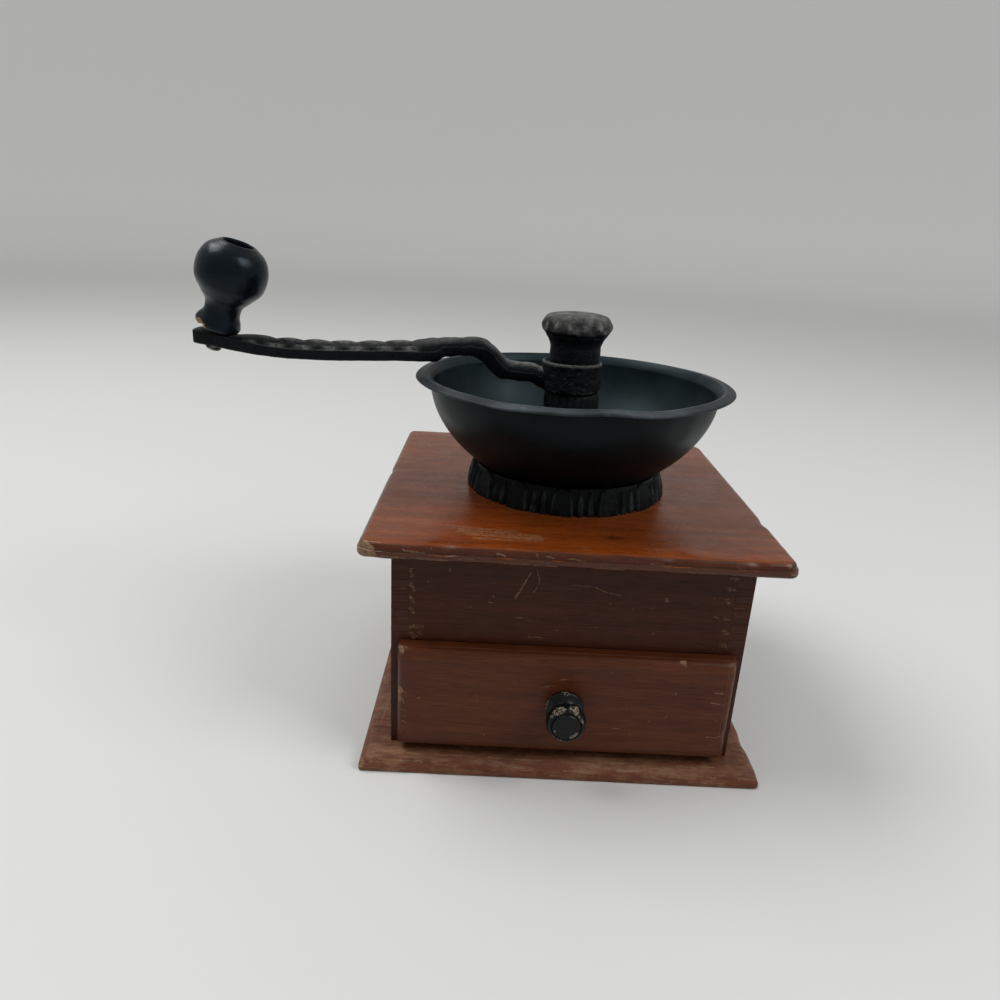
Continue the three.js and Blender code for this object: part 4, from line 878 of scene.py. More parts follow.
def make_drawer_front():
    """The drawer's raised face, and the tongue that fills the drawer between its sides."""
    start, end = low("drawer_front"), high("drawer_front")
    back, foot = start.y + FACE_PROUD, FACE_PROUD - ROUND_FOOT
    edge = [(FACE_EASE, 0), (0, FACE_EASE), (0, foot - 0.2), (FACE_STEP, foot)]
    edge += [(FACE_STEP + ROUND_RUN * (1 - math.cos(a)), foot + ROUND_RISE * math.sin(a))
             for a in np.linspace(0.12, math.pi / 2, 8)]
    edge += [(run, FACE_PROUD - drop) for run, drop in FACE_FLAT]
    verts, faces = moulded(end.x, FACE_TALL / 2, (FACE_CORNER,) * 4, edge)
    up = verts[:, 1] + FACE_LIFT + FACE_TALL / 2
    verts = np.stack([verts[:, 0], back - verts[:, 2], up], 1)
    wave = abs(bumps(verts, 8, 3)) * 0.12 + abs(bumps(verts, 2.0, 4)) * 0.06
    wavy = (verts[:, 1] < back - 2) & (abs(verts[:, 0]) > end.x - FACE_WAVY)
    verts[:, 1] += np.where(wavy, wave, 0)
    dents = [((x, start.y + behind, z), reach, push) for x, behind, z, reach, push in FACE_DENTS]
    places = [((x, start.y + behind, z), reach) for x, behind, z, reach in FACE_BARE]
    piece("drawer_face", (dented(verts, dents), faces), MAT["drawer"], "drawer",
          ["drawer_front"], masks={"bare": bared(verts, places, 0.6, 1.5)})
    inner, top = high("drawer_right_side").x - TONGUE_IN, high("drawer_left_side").z
    flat = rounded([(inner, start.z, 0.3), (inner, top, 0.5), (-inner, top, 0.5),
                    (-inner, start.z, 0.3)])
    rings = [np.column_stack([flat[:, 0], np.full(len(flat), y), flat[:, 1]])
             for y in (back - TONGUE_LAP, end.y)]
    piece("drawer_tongue", skin(rings), MAT["raw_x"], "drawer", ["drawer_front"])


# Turned and cast pieces

def superellipse(radius, depth, rise, round_, start, count):
    """The bowl's outer curve, from its floor's edge up to its rim."""
    angle = np.linspace(start, math.pi / 2, count)
    return np.stack([radius * np.sin(angle)**(2 / round_), -depth * np.cos(angle)**(2 / rise)], 1)


def offset_curve(curve, distance):
    way = np.gradient(curve, axis=0)
    way /= np.linalg.norm(way, axis=1)[:, None]
    return curve + np.stack([-way[:, 1], way[:, 0]], 1) * distance


BOWL_RADIUS, BOWL_DEPTH, BOWL_RISE, BOWL_ROUND = 65.9, 52.36, 1.896, 1.533
BOWL_FLOOR = math.radians(28.6)
BOWL_BROW, BOWL_SHEET, BOWL_THROAT, BOWL_SIDES = 152.6, 1.2, 19.0, 288
LIP_DROP, LIP_UNDER, LIP_OVER, LIP_CREST, LIP_IN = 0.95, 68.2, 68.9, 68.3, 67.5
# RIM_RUB_AND_HIGHLIGHT is the radius of the rim's crest, rubbed and given a painted highlight
RIM_RUB_AND_HIGHLIGHT, SCUFF_AT, SCUFF_HEIGHT = 68, 318, 139
BOWL_DENTS = [((2, -66, 148), 8, (0, 0.7, 0)), ((-30, -60, 146), 10, (0, 0.4, 0)),
              ((40, -52, 144), 9, (-0.2, 0.4, 0))]

# Waves and rubbed places round the rim: angle, size and width
RIM_WAVES = [(276, 1.0, 9), (242, -0.7, 8), (290, -0.4, 6), (298, -0.6, 8), (200, 0.5, 14),
             (20, 0.4, 18), (100, -0.5, 20), (330, 0.4, 12), (150, 0.35, 15), (184, -0.6, 24)]
RIM_WORN = [(247, 0.9, 9), (262, 0.5, 7), (284, 0.8, 10), (300, 0.45, 7), (225, 0.35, 9),
            (17, 2.0, 1.1)]


def make_bowl():
    """Spun bowl with a turned-out rim that is no longer quite true."""
    start, end = low("hopper_bowl"), high("hopper_bowl")
    outer = superellipse(BOWL_RADIUS, BOWL_DEPTH, BOWL_RISE, BOWL_ROUND, BOWL_FLOOR, 60)
    outer[:, 1] += BOWL_BROW
    outer[0, 1] = start.z
    inner = offset_curve(outer, BOWL_SHEET)
    floor, crest, lip = start.z + BOWL_SHEET, end.z, end.z - LIP_DROP
    rim = rounded([
        (outer[-1][0], BOWL_BROW, 0), (LIP_UNDER, crest - BOWL_SHEET - 0.2, 1.6),
        (end.x - 0.3, lip - BOWL_SHEET, 0.6), (end.x, lip - 0.3, 0.5),
        (end.x - 0.5, lip + 0.1, 0.6), (LIP_OVER, crest - 0.35, 0.5), (LIP_CREST, crest, 0.5),
        (LIP_IN, crest - 0.1, 0.5), (inner[-1][0], BOWL_BROW - 0.4, 0)], closed=False, steps=5)
    profile = np.vstack([[(BOWL_THROAT, start.z)], outer[:-1], rim, inner[-2:0:-1],
                         [(inner[0][0], floor), (BOWL_THROAT, floor)]])

    def ripple(angle, radii, heights):
        share = ramp(heights, BOWL_BROW - 4, 8) * ramp(radii, 60, 12)
        lift = sum(size * bell(swing_from(np.degrees(angle), at), width)
                   for at, size, width in RIM_WAVES)
        untrue = 0.25 * np.sin(angle * 2 + 0.6) - 1.2 * bell(angle - math.pi, 0.6)
        return radii + untrue * ramp(heights, start.z, 40), heights + lift * share

    verts, faces = turned(profile, BOWL_SIDES, loop=True, ripple=ripple)
    radii, degrees = radii_of(verts), np.degrees(turns_of(verts)) % 360
    patches = sum(size * bell(degrees - at, width) for at, size, width in RIM_WORN)
    # The rim is paled all round and rubbed in patches; the bell at the crest's radius is a painted
    # highlight
    worn = ramp(radii, RIM_RUB_AND_HIGHLIGHT - 1.1, 1.2) * ramp(verts[:, 2], BOWL_BROW - 1.6, 3)
    worn *= 0.25 + patches + bell(radii - RIM_RUB_AND_HIGHLIGHT, 0.45) * 0.6
    scuffed = bell(degrees - SCUFF_AT, 8) * np.clip(1 - abs(verts[:, 2] - SCUFF_HEIGHT) / 10, 0, 1)
    worn = np.maximum(worn, scuffed * (radii > 50) * 0.5)
    # The inside mask marks the rows inside the bowl, which the material paints paler as a painted
    # sheen
    row = np.repeat(np.arange(len(profile)), BOWL_SIDES)
    inside = ramp(row, len(outer) + len(rim) * 0.75, 4)
    piece("bowl", (dented(verts, BOWL_DENTS), faces), MAT["bowl"], "box",
          ["hopper_bowl"], masks={"worn": worn, "inside": inside})


COLLAR_PAIRS, WIDE_SHARE, NARROW_SHARE = 14, 0.56, 0.22
PETAL_DEPTH, BEAD_DEPTH = 1.5, 0.35
COLLAR_TOE, COLLAR_LEAN, COLLAR_FACE, COLLAR_FLOOR, COLLAR_BORE = 46.6, 2.4, 42.8, 2.2, 19.3

# For a wide and a narrow petal: height, breadth, slope, the bead's place and width, and relief
PETALS = [(1.0, 0.88), (0.93, 0.85), (0.18, 0.6), (0.13, 0.5), (0.09, 0.3), (1.0, 0.8)]


def petal_relief(angle, height):
    """A petal's face, 0 in the grooves and 1 on it, and the bead round its edge."""
    pair = np.mod(angle * COLLAR_PAIRS / TURN, 1)
    wide = pair < WIDE_SHARE
    tall, broad, slope, bead_at, bead_wide, full = [np.where(wide, *both) for both in PETALS]
    middle, thin = WIDE_SHARE / 2, NARROW_SHARE / 2
    away = np.where(wide, abs(pair - middle) / middle,
                    abs(np.mod(pair - WIDE_SHARE, NARROW_SHARE) - thin) / thin)
    arch = np.clip(1 - (height / tall)**5, 0, 1)**0.5
    near = broad * arch - away * (1 + 0.12 * height)
    flat = np.clip(near / slope, 0, 1)
    return flat * flat * (3 - 2 * flat) * full, bell(near - bead_at, bead_wide) * (near > 0)


def make_collar():
    """Cast ring with a row of wide and narrow petals, and a floor under the bowl."""
    start, end = low("collar_ring"), high("collar_ring")
    tall, floor = end.z - start.z, start.z + COLLAR_FLOOR
    outer = [(COLLAR_TOE - COLLAR_LEAN * share**1.4, start.z + tall * share * 0.95)
             for share in np.linspace(0, 1, 30)]
    rest = rounded([
        (44.1, end.z - 0.4, 0), (43.7, end.z, 0.4), (42.6, end.z, 0.4), (42.0, end.z - 1.2, 0.8),
        (39.8, floor, 2.0), (COLLAR_BORE, floor, 0.4), (COLLAR_BORE, start.z, 0.4),
        (COLLAR_TOE - 0.3, start.z, 0.0)], closed=False)
    profile = np.vstack([outer, rest])

    def ripple(angle, radii, heights):
        raised, bead = petal_relief(angle, (heights - start.z) / tall)
        wander = 0.12 * np.sin(angle * 9 + 1) + 0.1 * np.sin(angle * 23)
        relief = (raised - 1) * PETAL_DEPTH + bead * BEAD_DEPTH + wander - 0.1
        return radii + ramp(radii, COLLAR_FACE, 1.2) * relief, heights

    verts, faces = turned(profile, COLLAR_PAIRS * 54, loop=True, ripple=ripple)
    lumps = bumps(verts, 2.6, 5) * 0.14
    radii = radii_of(verts)
    swell(verts, np.where(radii > COLLAR_FACE, lumps, 0))
    raised, bead = petal_relief(turns_of(verts), (verts[:, 2] - start.z) / tall)
    worn = (bead * 0.7 + raised * 0.06) * (radii > COLLAR_FACE + 0.2)
    piece("collar", (verts, faces), MAT["collar"], "box", ["collar_ring"], sharp=60,
          masks={"worn": worn * np.clip(0.5 + bumps(verts, 5.0, 14), 0.1, 1)})


# Shares of the arm's reach and rise: station, underside, shoulder, and how full the crown is
ARM_SHARES = [
    (0.06, 0.04, 0.46, 0.86), (0.094, 0.13, 0.5, 0.97), (0.111, 0.26, 0.57, 1.06),
    (0.14, 0.3, 0.6, 1.03), (0.167, 0.3, 0.61, 1.03), (0.181, 0.3, 0.68, 1.11),
    (0.199, 0.34, 0.89, 1.03), (0.216, 0.52, 1.11, 0.89), (0.234, 0.73, 1.26, 0.89),
    (0.251, 0.91, 1.32, 0.97), (0.275, 1, 1.33, 0.91), (0.304, 0.99, 1.3, 0.86),
    (0.339, 0.95, 1.27, 0.94), (0.347, 0.94, 1.25, 1.02), (0.362, 0.77, 1.13, 1.34),
    (0.371, 0.75, 1.09, 1.54), (0.386, 0.745, 1.07, 1.49), (0.409, 0.74, 1.07, 1.37),
    (0.456, 0.73, 1.07, 1.14), (0.515, 0.7, 1.04, 1.03), (0.573, 0.66, 1.01, 0.97),
    (0.632, 0.63, 0.98, 1), (0.69, 0.62, 0.96, 1.06), (0.749, 0.62, 0.96, 1.09),
    (0.801, 0.65, 1, 0.97), (0.854, 0.71, 1.09, 0.8), (0.901, 0.79, 1.17, 0.23),
    (0.953, 0.9, 1.31, 0.14), (0.994, 0.96, 1.4, 0.14), (1, 0.98, 1.37, 0.08),
]
ARM_REACH, ARM_RISE, ARM_CROWN, ARM_HALF = 171.0, 14.1, 3.5, 6.0
ARM_INSET, ARM_EASE = 0.5, 0.7
ROPE_START, ROPE_END, ROPE_PITCH = 68.0, 150.0, 12.2
HUB_BOTTOM, HUB_SHIFT, HUB_MOUTH, HUB_EDGE = 149.5, 0.9, 11.9, 12.4

# Radius, height over the hub's foot, and rounding
HUB_PROFILE = [(0.1, 0, 0), (12.8, 0, 0.6), (13.8, 1.3, 1.0), (13.6, 6.5, 3.0), (13.6, 11.1, 1.2),
               (13.9, 12.1, 0.7), (13.5, 13.6, 0.9), (12.2, 13.7, 0.7), (11.8, 12.7, 0.4),
               (4.2, 12.7, 0)]


def make_arm():
    """Cast arm: flat below, plain sides and a crown that is carved like laid rope."""
    table = np.array(ARM_SHARES)
    stations = np.linspace(table[0, 0], table[-1, 0], 360)
    rows = [np.interp(stations, table[:, 0], table[:, column]) for column in (1, 2, 3)]
    under, side, crown = [np.convolve(np.pad(row, 3, mode="edge"), np.ones(7) / 7, "valid")
                          for row in rows]
    across = np.cos(np.linspace(0, math.pi, 33))
    edge = abs(across)
    rings, worn = [], []
    for i, share in enumerate(stations):
        s = share * ARM_REACH
        rope = np.clip(min((s - ROPE_START) / 6, (ROPE_END - s) / 10), 0, 1)
        along = np.mod(s / ROPE_PITCH - across * 0.5, 1)
        lump, strand = np.sin(math.pi * along)**0.6, bell(along - 0.5, 0.26)
        hollow = strand * bell(edge - 0.66, 0.2)
        carve = 1 - rope * np.clip(1 - edge**8, 0, 1) * (0.42 * (1 - lump) + 0.62 * hollow)
        bottom, shoulder = [HUB_BOTTOM + curve[i] * ARM_RISE for curve in (under, side)]
        round_ = np.sqrt(np.clip(1 - across**2, 0, 1))**0.9
        top = shoulder + crown[i] * ARM_CROWN * round_ * carve
        half = ARM_HALF - 0.5 * ramp(s, ARM_REACH - 3, 3)**2
        chin, brow, ledge_at = bottom + ARM_EASE, shoulder - 0.25, shoulder - 0.6
        ring = [((half - ARM_INSET) * a, z) for a, z in zip(across, top)]
        lower = [(-half, brow), (-half, ledge_at), (-half, chin), (-half + ARM_EASE, bottom),
                 (0, bottom), (half - ARM_EASE, bottom), (half, chin), (half, ledge_at),
                 (half, brow)]
        rings.append([(-s, y, z) for y, z in ring + lower])
        ridge = strand * np.clip((edge - 0.86) * 12, 0, 1)
        crown_top = np.clip(1.7 - edge * 2.4, 0, 1) * np.clip(lump * 2.2 - 1.0, 0, 1)
        root = ramp(34, s, 8) * bell(across + 0.45, 0.4)
        carved = (0.75 * crown_top + 1.1 * ridge) * (1 - hollow)
        neck = np.clip(1.9 - edge * 2, 0, 1) * (0.38 * ramp(165, s, 6) + root)
        ledge = 0.1 + 0.35 * rope
        worn += list(np.clip(rope * carved + (1 - rope) * neck, 0, 1.2))
        worn += [ledge] + [0.0] * (len(lower) - 2) + [ledge]
    verts, faces = skin(rings)
    hammered = ramp(ROPE_START + 4, -verts[:, 0], 8) * 0.45 + 0.12
    verts[:, 2] += bumps(verts, 4.2, 6) * hammered
    verts[:, 1] += bumps(verts, 5.0, 7) * hammered * 0.8
    piece("arm", (verts, faces), MAT["hub"], "crank", ["crank_arm"], sharp=70,
          masks={"worn": worn})


def make_hub():
    """The arm's round boss, with a rolled top edge and a rough side."""
    profile = rounded([(radius, HUB_BOTTOM + up, turn) for radius, up, turn in HUB_PROFILE],
                      closed=False, steps=6)
    dense = np.concatenate([profile[:1], spline(profile[1:-1], 46), profile[-1:]])
    verts, faces = turned(dense, 112)
    radii, up = radii_of(verts), verts[:, 2] - HUB_BOTTOM
    lumps = bumps(verts, 3.4, 8) * 0.28 + bumps(verts, 1.4, 9) * 0.12
    swell(verts, np.where(radii > HUB_MOUTH, lumps, 0))
    verts[:, 0] -= HUB_SHIFT
    worn = ramp(up, HUB_EDGE, 0.8) * (radii > 12.6) * 0.5
    worn += bell(up - 1.0, 0.5) * np.clip(bumps(verts, 4, 15) * 2, 0, 0.5)
    worn += np.clip(bumps(verts, 0.9, 16) * 3 - 0.9, 0, 1) * 0.25 * (radii > 12)
    piece("hub", (verts, faces), MAT["hub"], "crank", ["crank_arm"], sharp=60,
          masks={"worn": worn})


CAP_BORE, CAP_BOSSES = 4.1, 14
CAP_CURVE = [(11.3, 0.4), (11.45, 4), (11.6, 8), (12.3, 9.9), (13.9, 11.9), (15.0, 13.6),
             (15.4, 15.6), (15.1, 18.0), (13.9, 20.1), (10.4, 21.3)]


def make_cap():
    """Cap nut: a plain shank and a domed head whose bosses overhang a scalloped edge."""
    start, end = low("cap_nut").z, high("cap_nut").z
    curve = [(radius, start + up) for radius, up in CAP_CURVE] + [(4.6, end - 0.1), (0.1, end)]
    profile = np.vstack([[(CAP_BORE, start), (11.0, start)], spline(curve, 96)])

    def bosses(angle):
        return np.cos(angle * CAP_BOSSES + 0.5 + 0.5 * np.sin(angle * 3))

    def ripple(angle, radii, heights):
        swing = bosses(angle)
        level = bell(heights - start - 16.2, 1.9)
        boss = swing * 0.6 + 0.2 * np.sin(angle * 5) + 0.15 * np.sin(angle * 3 + 1)
        under = bell(heights - start - 12.6, 0.8) * (0.55 + 0.35 * swing)
        return radii + (level * boss - under) * (radii > 12), heights

    verts, faces = turned(profile, CAP_BOSSES * 16, ripple=ripple)
    swell(verts, bumps(verts, 3.2, 10) * 0.22 + bumps(verts, 1.3, 11) * 0.06, 4)
    up = verts[:, 2] - start
    proud = bell(up - 16.6, 1.3) * np.clip(bosses(turns_of(verts)) * 1.9 - 0.8, 0, 1)
    patchy = np.clip(0.5 + bumps(verts, 4.0, 12), 0.2, 0.8)
    worn = ramp(up + bumps(verts, 2.5, 17), 13.3, 0.7) * patchy
    worn = worn * 0.75 + ramp(up, 18.5, 2) * 0.35 + proud * 0.8
    piece("cap", (verts, faces), MAT["hub"], "crank", ["cap_nut"], sharp=60,
          masks={"worn": np.clip(worn, 0, 1)})


def joint_named(name):
    return next(joint for joint in frame["joints"] if joint["name"] == name)


def knob_frame():
    """The ball knob's foot and its leaning directions, from the joint it turns on."""
    joint = joint_named("knob_spin")
    foot = np.array(joint["pos_m"]) / MM
    up = np.array(joint["axis"], float)
    up /= np.linalg.norm(up)
    side = np.cross([0, 1, 0], up)
    side /= np.linalg.norm(side)
    return foot, side, np.cross(up, side), up


def leaning(shape):
    verts, faces = shape
    foot, side, front, up = knob_frame()
    return foot + verts @ np.array([side, front, up]), faces


# Shares of the ball knob's radius and height
KNOB_SHARES = [(0.55, 0), (0.6, 0.03), (0.585, 0.09), (0.505, 0.187), (0.52, 0.285), (0.725, 0.4),
               (0.95, 0.532), (1, 0.666), (0.945, 0.8), (0.795, 0.907), (0.52, 0.985)]
KNOB_RADIUS, KNOB_TALL, KNOB_BORE, KNOB_WELL = 15.5, 38.9, 3.3, 10
KNOB_DENTS = [((-9.6, -1.5, 2.6), 5.6, (-1.2, -0.1, 0)), ((-9.5, -1.0, 0.2), 2.8, (1.2, 0.1, 0.9)),
              ((-6.5, -6.8, 0.3), 3.2, (0.7, 0.9, 0.8))]
KNOB_BARE = [((-9.4, -3.4, 1.0), 2.2), ((-7.4, -6.0, 0.8), 2.8), ((-4.6, -8.0, 0.4), 2.4)]
PIN_PROFILE = [(0.1, -10.4, 0), (2.6, -10.4, 0.9), (3.4, -9.6, 0.7), (3.3, -8.9, 0.4),
               (2.9, -8.9, 0.2), (2.9, 29.2, 0.3), (5.4, 29.2, 0.4), (5.3, 30.4, 0.8),
               (3.4, 31.5, 1.0), (0.1, 31.6, 0)]


def make_knob():
    """Ball knob on its leaning pin, chipped at the foot, and the pin with its riveted ends."""
    curve = spline([(r * KNOB_RADIUS, h * KNOB_TALL) for r, h in KNOB_SHARES], 84)
    lip = rounded([(7.4, KNOB_TALL - 0.25, 0), (6.6, KNOB_TALL, 0.6), (6.3, KNOB_TALL - 1.2, 0.6),
                   (6.4, KNOB_TALL - KNOB_WELL, 0.8), (KNOB_BORE, KNOB_TALL - KNOB_WELL, 0)],
                  closed=False)
    verts, faces = turned(np.vstack([[(KNOB_BORE, 0)], curve, lip]), 120, loop=True)
    verts = dented(verts, KNOB_DENTS)
    bare = bared(verts, KNOB_BARE, 0.75, 1.25)
    near_lip = bell(radii_of(verts) - 6.9, 0.35) * (verts[:, 2] > KNOB_TALL - 1.4)
    verts, faces = leaning((verts, faces))
    piece("ball_knob", (verts, faces), MAT["ball"], "knob", ["crank_knob"],
          masks={"bare": np.maximum(bare, near_lip * 0.34)})
    pin = turned(rounded(PIN_PROFILE, closed=False), 40)
    piece("rivet", leaning(pin), MAT["pin"], "crank", ["knob_pin"])


# Chipped places on the drawer's knob: angle, half width, radii, heights and how much is bare
PULL_CHIPS = [
    (118, 24, 5.9, 8.4, 10.6, 14, 0.5), (78, 9, 5.9, 8.4, 9.6, 14, 0.46),
    (62, 9, 5.9, 8.4, 9, 14, 0.55), (32, 20, 5.9, 7.4, 12.4, 14, 0.48),
    (275, 62, 7.2, 8.6, 7.6, 10.6, 0.46), (322, 14, 7.2, 8.6, 8.4, 12, 0.5),
    (150, 8, 6.8, 8, 11.5, 13.5, 0.46), (92, 15, 6.6, 8.4, 0.8, 2.8, 0.47),
    (140, 16, 7.3, 8.4, 0, 2.2, 0.42), (100, 40, 7.7, 8.4, 0, 1.2, 0.4),
    (312, 26, 3.9, 5.5, 13.6, 14.8, 0.52), (196, 13, 4.3, 5.5, 13.6, 14.8, 0.46),
    (232, 16, 1.4, 2.5, 13.6, 14.8, 0.42), (290, 14, 1.5, 2.1, 13.6, 14.8, 0.4),
    (20, 9, 2.4, 3.2, 13.6, 14.8, 0.42), (166, 26, 7.2, 8.4, 0.2, 2.4, 0.47),
    (330, 34, 7.4, 8.6, 8.4, 13, 0.48), (245, 34, 6, 8, 12.2, 14, 0.44),
]
PULL_HOLE, PULL_END = 8.4, 5.2
PULL_PROFILE = [(1.8, PULL_HOLE, 0), (1.8, 0, 0), (7.4, 0, 0.4), (8.0, 0.9, 0.6), (7.9, 1.9, 0.6),
                (6.4, 2.8, 0.8), (4.7, 4.2, 1.2), (4.6, 5.8, 1.2), (6.4, 7.0, 1.0),
                (7.9, 8.6, 1.2), (8.2, 10.6, 1.2), (7.6, 12.8, 1.0), (6.4, 13.8, 0.4),
                (5.8, 13.2, 0.3), (5.6, 13.9, 0.3), (PULL_END, 14.3, 0.4)]


def make_pull():
    """Turned drawer knob whose paint is chipped back to pale wood."""
    start, end = low("drawer_knob"), high("drawer_knob")
    middle, tall = (start + end) / 2, end.y - start.y
    disc = [(radius, tall - 0.2 * (radius / PULL_END)**2)
            for radius in (4.6, 4.0, 3.3, 2.6, 2.0, 1.4, 0.8, 0.1)]
    profile = np.vstack([[(0.1, PULL_HOLE)], rounded(PULL_PROFILE, closed=False, steps=5), disc])
    verts, faces = turned(profile, 120)
    radii, degrees = radii_of(verts), np.degrees(turns_of(verts)) % 360
    bare = np.full(len(verts), 0.1)
    for at, half, inside, outside, bottom, top, amount in PULL_CHIPS:
        away = np.sqrt((swing_from(degrees, at) / half)**2
                       + ((radii * 2 - inside - outside) / (outside - inside))**2
                       + ((verts[:, 2] * 2 - bottom - top) / (top - bottom))**2)
        bare = np.maximum(bare, np.clip(1.9 - away, 0, 1) * amount)
    placed = np.stack([middle.x + verts[:, 0], end.y - verts[:, 2], middle.z + verts[:, 1]], 1)
    piece("drawer_pull", (placed, faces), MAT["pull"], "drawer", ["drawer_knob"],
          masks={"bare": bare})


POST_BORE, POST_RADIUS, POST_HEAD, BRIDGE_TALL = 5.7, 8.5, 12, 6.1
RIB_OUTLINE = [(7.2, 0, 0), (19.6, 0, 0), (19.6, BRIDGE_TALL, 0), (18, BRIDGE_TALL, 1.5),
               (13.7, 9.8, 2.5), (9.5, 18.3, 3), (7.2, 20.7, 0)]
RIB_LAYERS = [(-2.5, 0.5), (-2.1, 0.12), (-1.6, 0), (1.6, 0), (2.1, 0.12), (2.5, 0.5)]


def make_post():
    """Bearing bridge: a ring on the housing's ledge, three ribs and the tall post."""
    start, end = low("bearing_bridge").z, high("bearing_bridge").z
    shelf = start + BRIDGE_TALL
    post = rounded([(POST_BORE, start, 0.3), (POST_RADIUS, start, 0.5), (POST_RADIUS, end - 10, 3),
                    (POST_HEAD, end - 5, 1.5), (POST_HEAD, end, 0.7), (POST_BORE, end, 0.3)])
    ring = rounded([(19, start, 0.5), (25.4, start, 0.5), (25.4, shelf, 0.5), (19, shelf, 0.8)])
    for name, profile in (("post", post), ("bridge_ring", ring)):
        piece(name, turned(profile, 96, loop=True), MAT["cast"], "box",
              ["bearing_bridge"])
    web = rounded([(x, start + up, turn) for x, up, turn in RIB_OUTLINE])
    centre = web.mean(axis=0)
    inward = (centre - web) / np.linalg.norm(centre - web, axis=1)[:, None]
    for i in range(3):
        angle = TURN * (1 / 4 + i / 3)
        way = np.array([math.cos(angle), math.sin(angle), 0])
        across = np.array([-math.sin(angle), math.cos(angle), 0])
        rings = []
        for y, draw in RIB_LAYERS:
            flat = web + inward * draw
            rings.append(flat[:, :1] * way + y * across + flat[:, 1:] * np.array([0, 0, 1]))
        piece(f"bridge_rib_{i + 1}", skin(rings), MAT["cast"], "box",
              ["bearing_bridge"])


NUT_BORE, NUT_RADIUS, NUT_KNURLS = 5.8, 12.9, 24


def make_nut():
    """Knurled adjusting nut under the crank's hub."""
    start, end = low("adjusting_nut").z, high("adjusting_nut").z
    rim = NUT_RADIUS - 0.8
    profile = rounded([(NUT_BORE, start, 0.3), (rim, start, 0.6), (NUT_RADIUS, start + 1, 0.6),
                       (NUT_RADIUS, end - 1, 0.6), (rim, end, 0.6), (NUT_BORE, end, 0.3)])
    dense = spline(np.vstack([profile, profile[:1]]), 60)[:-1]

    def ripple(angle, radii, heights):
        rib = abs(np.sin(angle * NUT_KNURLS / 2))**0.6
        return radii - ramp(radii, NUT_RADIUS - 1.3, 1.2) * (0.3 + (1 - rib) * 0.25), heights

    verts, faces = turned(dense, NUT_KNURLS * 10, loop=True, ripple=ripple)
    worn = ramp(radii_of(verts), NUT_RADIUS - 0.5, 0.3) * 0.06
    piece("nut", (verts, faces), MAT["hub"], "nut", ["adjusting_nut"], sharp=50,
          masks={"worn": worn})


SPRING_WIRE, SPRING_COILS = 0.6, 3.5


def make_spring():
    """The tension spring under the post, coiled at one fixed length, though it is pressed shorter
    as the spindle is lifted.
    """
    start, end = low("tension_spring"), high("tension_spring")
    radius, rise = end.x - SPRING_WIRE, end.z - start.z
    around, rings = np.arange(12) / 12 * TURN, []
    for share in np.linspace(0, 1, int(SPRING_COILS * 28) + 1):
        angle = share * SPRING_COILS * TURN
        middle = start.z + SPRING_WIRE + (rise - SPRING_WIRE * 2) * share
        thin = SPRING_WIRE * min(1.0, 0.3 + 25 * min(share, 1 - share))
        out, up = radius + thin * np.cos(around), middle + thin * np.sin(around)
        rings.append(np.stack([out * math.cos(angle), out * math.sin(angle), up], 1))
    made = piece("spring_wire", skin(rings), MAT["burr"], "crank", ["tension_spring"])
    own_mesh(made)


SCREW_HEAD, SLOT_HALF, SLOT_DEPTH = 1.8, 0.42, 0.8


def make_screws():
    """The three slotted screws in the bowl's floor."""
    for i in range(3):
        name = f"bowl_screw_{i + 1}"
        start, end = low(name), high(name)
        middle, head = (start + end) / 2, end.z - SCREW_HEAD
        profile = rounded([
            (0.1, start.z, 0), (1.4, start.z + 0.5, 0.2), (1.5, head, 0.1), (2.6, head, 0.2),
            (2.55, head + 0.9, 0.6), (1.2, end.z, 0.8), (0.1, end.z, 0)], closed=False)
        dense = np.vstack([profile[:-1], [(r, end.z) for r in np.linspace(1.1, 0.1, 4)]])
        verts, faces = turned(dense, 48)
        slot = (abs(verts[:, 1]) < SLOT_HALF) & (verts[:, 2] > head + 0.7)
        verts[:, 2] -= slot * SLOT_DEPTH
        verts += np.array([middle.x, middle.y, 0])
        piece(name + "_turned", (verts, faces), MAT["steel"], "box", [name], sharp=30)


# CAD nodes that keep their own shape

def dress(material, *nodes):
    for node in nodes:
        made = frame["nodes"][node]
        if not made.material_slots:
            made.data.materials.append(material)
        for slot in made.material_slots:
            slot.material = material


make_boards()
make_drawer_front()
make_bowl()
make_collar()
make_arm()
make_hub()
make_cap()
make_knob()
make_pull()
make_post()
make_nut()
make_spring()
make_screws()

dress(MAT["panel"], "front_panel", "back_wall")
dress(MAT["side"], "left_wall", "right_wall")
dress(MAT["raw_x"], "drawer_back", "drawer_bottom")
dress(MAT["raw_y"], "drawer_left_side", "drawer_right_side")
dress(MAT["cast"], "mill_housing")
dress(MAT["burr"], "outer_burr", "inner_burr", "lower_bridge", "spindle")
dress(MAT["steel"], "key_washer", "drive_pin", "drawer_knob_screw", "lower_screw_left",
      "lower_screw_right", *[f"housing_screw_{i}" for i in range(1, 5)],
      *[f"base_screw_{i}" for i in range(1, 5)])


# Floor, backdrop, lights and camera

COVE = [(0.0, 0.0, 0), (6.0, 0.0, 3.0), (9.5, 5.0, 0)]
COVE_NEAR, COVE_FAR, COVE_GLOW = 0.8, 5.0, 0.147
FLOOR_TONE, FLOOR_ROUGH, GLOW_TONE = (0.64, 0.64, 0.63, 1), 0.6, (1, 1, 0.99, 1)


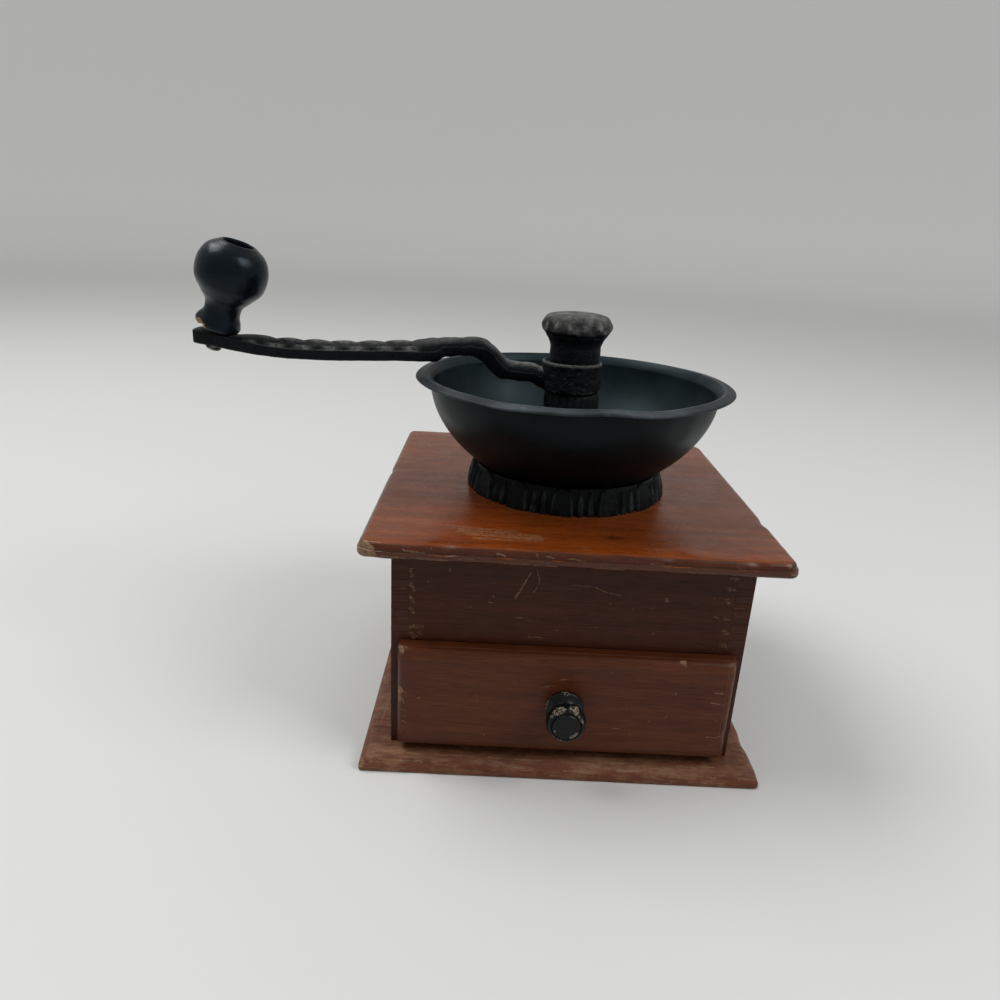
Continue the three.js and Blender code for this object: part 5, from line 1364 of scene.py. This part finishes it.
def make_stage():
    """A pale floor that curves up all round; the camera and gloss see it paler far off."""
    made, graph, shader = new_material("stage_paper")
    shader.inputs["Base Color"].default_value = FLOOR_TONE
    shader.inputs["Roughness"].default_value = FLOOR_ROUGH
    rays = graph.node("LightPath")
    seen = graph.larger(rays.outputs["Is Camera Ray"], rays.outputs["Is Glossy Ray"])
    seen = graph.larger(seen, rays.outputs["Is Transmission Ray"])
    far = graph.length(graph.node("NewGeometry").outputs["Position"])
    glow = graph.span(far, COVE_NEAR, COVE_FAR, 0, COVE_GLOW)
    shader.inputs["Emission Color"].default_value = GLOW_TONE
    graph.put(graph.times(glow, seen), shader.inputs["Emission Strength"])
    line = rounded(COVE, closed=False, steps=16)
    verts, faces = turned([(max(radius, 0.01), height) for radius, height in line], 96)
    mesh = bpy.data.meshes.new("stage_floor")
    mesh.from_pydata(verts.tolist(), [], faces[:-1])
    mesh.shade_smooth()
    mesh.materials.append(made)
    linked("stage_floor", mesh)


def add_lamp(name, place, target, size, watts):
    data = bpy.data.lights.new(name, "AREA")
    data.shape = "RECTANGLE"
    data.size, data.size_y = size
    data.energy = watts
    made = linked(name, data)
    made.location = place
    made.rotation_euler = (Vector(target) - Vector(place)).to_track_quat("-Z", "Y").to_euler()


ROOM_TONE, ROOM_STRENGTH = (0.94, 0.95, 0.94, 1), 0.5
LAMP_TARGET = (0, 0, 0.1)

# Place, size and watts
LAMPS = [("key", (-0.9, 0.25, 1.5), (1.1, 0.7), 17), ("fill", (1.1, -0.5, 1.2), (0.8, 0.8), 11.5)]


def make_light():
    """A soft even room and two large lamps, one from each side."""
    world = bpy.data.worlds.new("studio")
    world.use_nodes = True
    back = world.node_tree.nodes["Background"]
    back.inputs["Color"].default_value = ROOM_TONE
    back.inputs["Strength"].default_value = ROOM_STRENGTH
    bpy.context.scene.world = world
    for name, place, size, watts in LAMPS:
        add_lamp(name, place, LAMP_TARGET, size, watts)


CAMERA_PLACE = (-33.16, -347.92, 219.54)
CAMERA_TURN = (1.224, -0.0502, 0.0102)
CAMERA_LENS = 27.41
SENSOR_WIDTH = 36.0


def make_camera():
    data = bpy.data.cameras.new("camera")
    data.lens = CAMERA_LENS
    data.sensor_width = SENSOR_WIDTH
    data.clip_start = 0.01
    made = linked("camera", data)
    made.location = Vector(CAMERA_PLACE) * MM
    made.rotation_euler = CAMERA_TURN
    bpy.context.scene.camera = made


make_stage()
make_light()
make_camera()
bpy.context.scene.view_settings.view_transform = "Standard"
